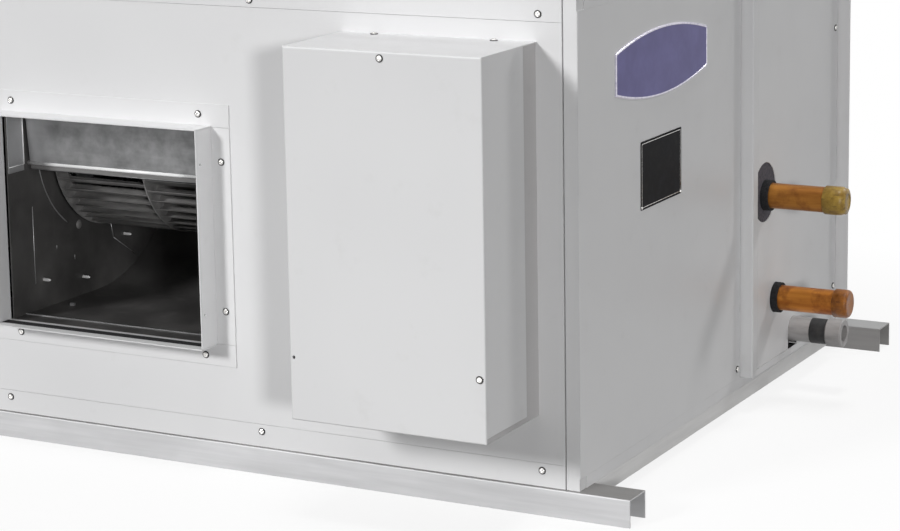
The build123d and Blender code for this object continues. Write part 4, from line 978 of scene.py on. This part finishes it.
def outlet_details(bm):
    """Bead, screw tips, dimple, seams and scratches on the left plate."""
    bead(bm)
    for spot in SCREW_TIPS:
        lathe(bm, TIP, standing_on(on_plate(*spot), TO_RIGHT), segments=12, slot=TIP_SLOT)
    lathe(bm, DIMPLE_DOME, standing_on(on_plate(*DIMPLE), TO_RIGHT), slot=DIMPLE_SLOT)
    for start, end in (*zip(SEAM, SEAM[1:]), UPRIGHT_SEAM):
        bar(bm, SEAM_R, on_plate(*start), on_plate(*end), ZINC_SLOT, LINE_SEGMENTS)
    for start, end in SCRATCHES:
        bar(bm, SCRATCH_R, on_plate(*start), on_plate(*end), ZINC_SLOT, LINE_SEGMENTS)


STEP_DEPTH = 30 * MM
STEP_LENGTH = 2 * MM
STEP_H = 1.6 * MM
# A flat black strip that paints the shade of the gap in the collar's floor
GAP_SHADE_DEPTHS = (-24 * MM, -9 * MM)
GAP_SHADE_PAST_PLATES = 3 * MM
GAP_SHADE_H = 0.4 * MM
CLIP_FROM_RIGHT = 887 * MM
CLIP_DEPTH = 101 * MM
CLIP_SIZE = 6 * MM
CLIP_H = 4.2 * MM


def mouth_details(bm):
    """The step behind the mouth, a flat black strip in the collar's floor as painted shade of the gap
    there, and a spot clip.
    """
    y = Y_FRONT + STEP_DEPTH
    step_high = (PLATE_OUTER, y + STEP_LENGTH, MOUTH_FLOOR + STEP_H)
    block(bm, (PLATE_INNER, y, MOUTH_FLOOR), step_high, ZINC_SLOT)
    gap_shade_low = (PLATE_INNER - GAP_SHADE_PAST_PLATES, Y_FRONT + GAP_SHADE_DEPTHS[0], MOUTH_FLOOR)
    gap_shade_high = (PLATE_OUTER + GAP_SHADE_PAST_PLATES, Y_FRONT + GAP_SHADE_DEPTHS[1], MOUTH_FLOOR + GAP_SHADE_H)
    block(bm, gap_shade_low, gap_shade_high, GAP_SHADE_SLOT)
    x, y = X_RIGHT - CLIP_FROM_RIGHT, Y_FRONT + CLIP_DEPTH
    block(bm, (x, y, MOUTH_FLOOR), (x + CLIP_SIZE, y + CLIP_SIZE, MOUTH_FLOOR + CLIP_H), ZINC_SLOT)


for name, build in (("blower_inside_details", outlet_details), ("mouth_details", mouth_details)):
    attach(object_from(name, build, inside_finishes), "casing")


# Camera, fitted to the casing's straight edges

CAMERA_FROM_CORNER = Vector((1.392, -2.959, 1.040))
CAMERA_YAW = math.radians(28.07)
CAMERA_DOWN = math.radians(10.27)
CAMERA_ROLL = math.radians(-0.93)
LENS = 103.74
SHIFT_UP = -0.12
CLIP_END = 100


def photo_camera():
    """Stands before the right front corner, looks left and down, and leans a little."""
    ahead = Vector((
        -math.sin(CAMERA_YAW) * math.cos(CAMERA_DOWN),
        math.cos(CAMERA_YAW) * math.cos(CAMERA_DOWN),
        -math.sin(CAMERA_DOWN),
    ))
    level = Vector((math.cos(CAMERA_YAW), math.sin(CAMERA_YAW), 0))
    upright = level.cross(ahead)
    right = level * math.cos(CAMERA_ROLL) + upright * math.sin(CAMERA_ROLL)
    up = upright * math.cos(CAMERA_ROLL) - level * math.sin(CAMERA_ROLL)
    data = bpy.data.cameras.new("camera")
    data.lens = LENS
    data.shift_y = SHIFT_UP
    data.clip_end = CLIP_END
    made = bpy.data.objects.new("camera", data)
    bpy.context.scene.collection.objects.link(made)
    turned = Matrix((right, up, -ahead)).transposed().to_4x4()
    place = Vector((X_RIGHT, Y_FRONT, Z_BASE)) + CAMERA_FROM_CORNER
    made.matrix_world = Matrix.Translation(place) @ turned
    bpy.context.scene.camera = made


# Lamps: name, direction towards the lamp, strength and size in degrees

LAMPS = (
    ("left key", Vector((-0.48, -1.0, 0.47)), 1.94, 11),
    ("right key", Vector((0.93, -1.0, 0.22)), 1.22, 7),
    ("top lamp", Vector((0.05, -0.05, 1.0)), 1.15, 14),
    ("rear lamp", Vector((0.7, 1.0, 1.0)), 0.62, 8),
)


def lamp(name, towards, power, degrees):
    """A far, wide lamp, which casts soft shadows all one way."""
    data = bpy.data.lights.new(name, "SUN")
    data.energy = power
    data.angle = math.radians(degrees)
    made = bpy.data.objects.new(name, data)
    bpy.context.scene.collection.objects.link(made)
    made.rotation_mode = "QUATERNION"
    made.rotation_quaternion = towards.to_track_quat("Z", "Y")


# Floor and world: near white where they are seen, and dim where they light the object

AMBIENT = 0.06
FLOOR_HALF = 40.0
FLOOR_SEEN = 0.93
FLOOR_BOUNCE = 0.16
GLOW_NEAR = 0.86
NEAR_LIMIT = 0.9
FAR_LIMIT = 1.4


def seen_directly(tree):
    """One for camera and glossy rays, none for the light that the object receives."""
    rays = tree.nodes.new("ShaderNodeLightPath")
    either = tree.nodes.new("ShaderNodeMath")
    either.operation = "MAXIMUM"
    tree.links.new(rays.outputs["Is Camera Ray"], either.inputs[0])
    tree.links.new(rays.outputs["Is Glossy Ray"], either.inputs[1])
    return either.outputs[0]


def mixed_shader(tree, factor, first, second):
    made = tree.nodes.new("ShaderNodeMixShader")
    for source, target in zip((factor, first, second), made.inputs):
        tree.links.new(source, target)
    return made.outputs[0]


def plain_shader(tree, kind, grey, strength=None):
    """A shader of one grey. A glowing one also has a strength."""
    made = tree.nodes.new(kind)
    made.inputs["Color"].default_value = (grey, grey, grey, 1)
    if strength is not None:
        made.inputs["Strength"].default_value = strength
    return made.outputs[0]


def pale_floor():
    """A wide floor that glows white, less so near the object, where its shadow falls."""
    mesh = bpy.data.meshes.new("floor")
    corners = [(x * FLOOR_HALF, y * FLOOR_HALF, 0) for x, y in ((-1, -1), (1, -1), (1, 1), (-1, 1))]
    mesh.from_pydata(corners, [], [(0, 1, 2, 3)])
    made = bpy.data.objects.new("floor", mesh)
    bpy.context.scene.collection.objects.link(made)
    material = bpy.data.materials.new("pale floor")
    material.use_nodes = True
    tree = material.node_tree
    tree.nodes.clear()
    output = tree.nodes.new("ShaderNodeOutputMaterial")
    place = tree.nodes.new("ShaderNodeTexCoord")
    distance = tree.nodes.new("ShaderNodeVectorMath")
    distance.operation = "LENGTH"
    tree.links.new(place.outputs["Object"], distance.inputs[0])
    fade = tree.nodes.new("ShaderNodeMapRange")
    limits = (("From Min", NEAR_LIMIT), ("From Max", FAR_LIMIT), ("To Min", GLOW_NEAR), ("To Max", 1.0))
    for key, number in limits:
        fade.inputs[key].default_value = number
    tree.links.new(distance.outputs["Value"], fade.inputs["Value"])
    seen = plain_shader(tree, "ShaderNodeBsdfDiffuse", FLOOR_SEEN)
    glow = plain_shader(tree, "ShaderNodeEmission", 1.0, 1.0)
    dim = plain_shader(tree, "ShaderNodeBsdfDiffuse", FLOOR_BOUNCE)
    bright = mixed_shader(tree, fade.outputs["Result"], seen, glow)
    tree.links.new(mixed_shader(tree, seen_directly(tree), dim, bright), output.inputs["Surface"])
    mesh.materials.append(material)


def white_world():
    """White all round where it is seen, and dim for the light that it gives."""
    world = bpy.data.worlds.new("studio")
    bpy.context.scene.world = world
    world.use_nodes = True
    tree = world.node_tree
    tree.nodes.clear()
    output = tree.nodes.new("ShaderNodeOutputWorld")
    soft = plain_shader(tree, "ShaderNodeBackground", 1.0, AMBIENT)
    white = plain_shader(tree, "ShaderNodeBackground", 1.0, 1.0)
    tree.links.new(mixed_shader(tree, seen_directly(tree), soft, white), output.inputs["Surface"])


photo_camera()
pale_floor()
white_world()
for values in LAMPS:
    lamp(*values)
bpy.context.scene.view_settings.view_transform = "Standard"
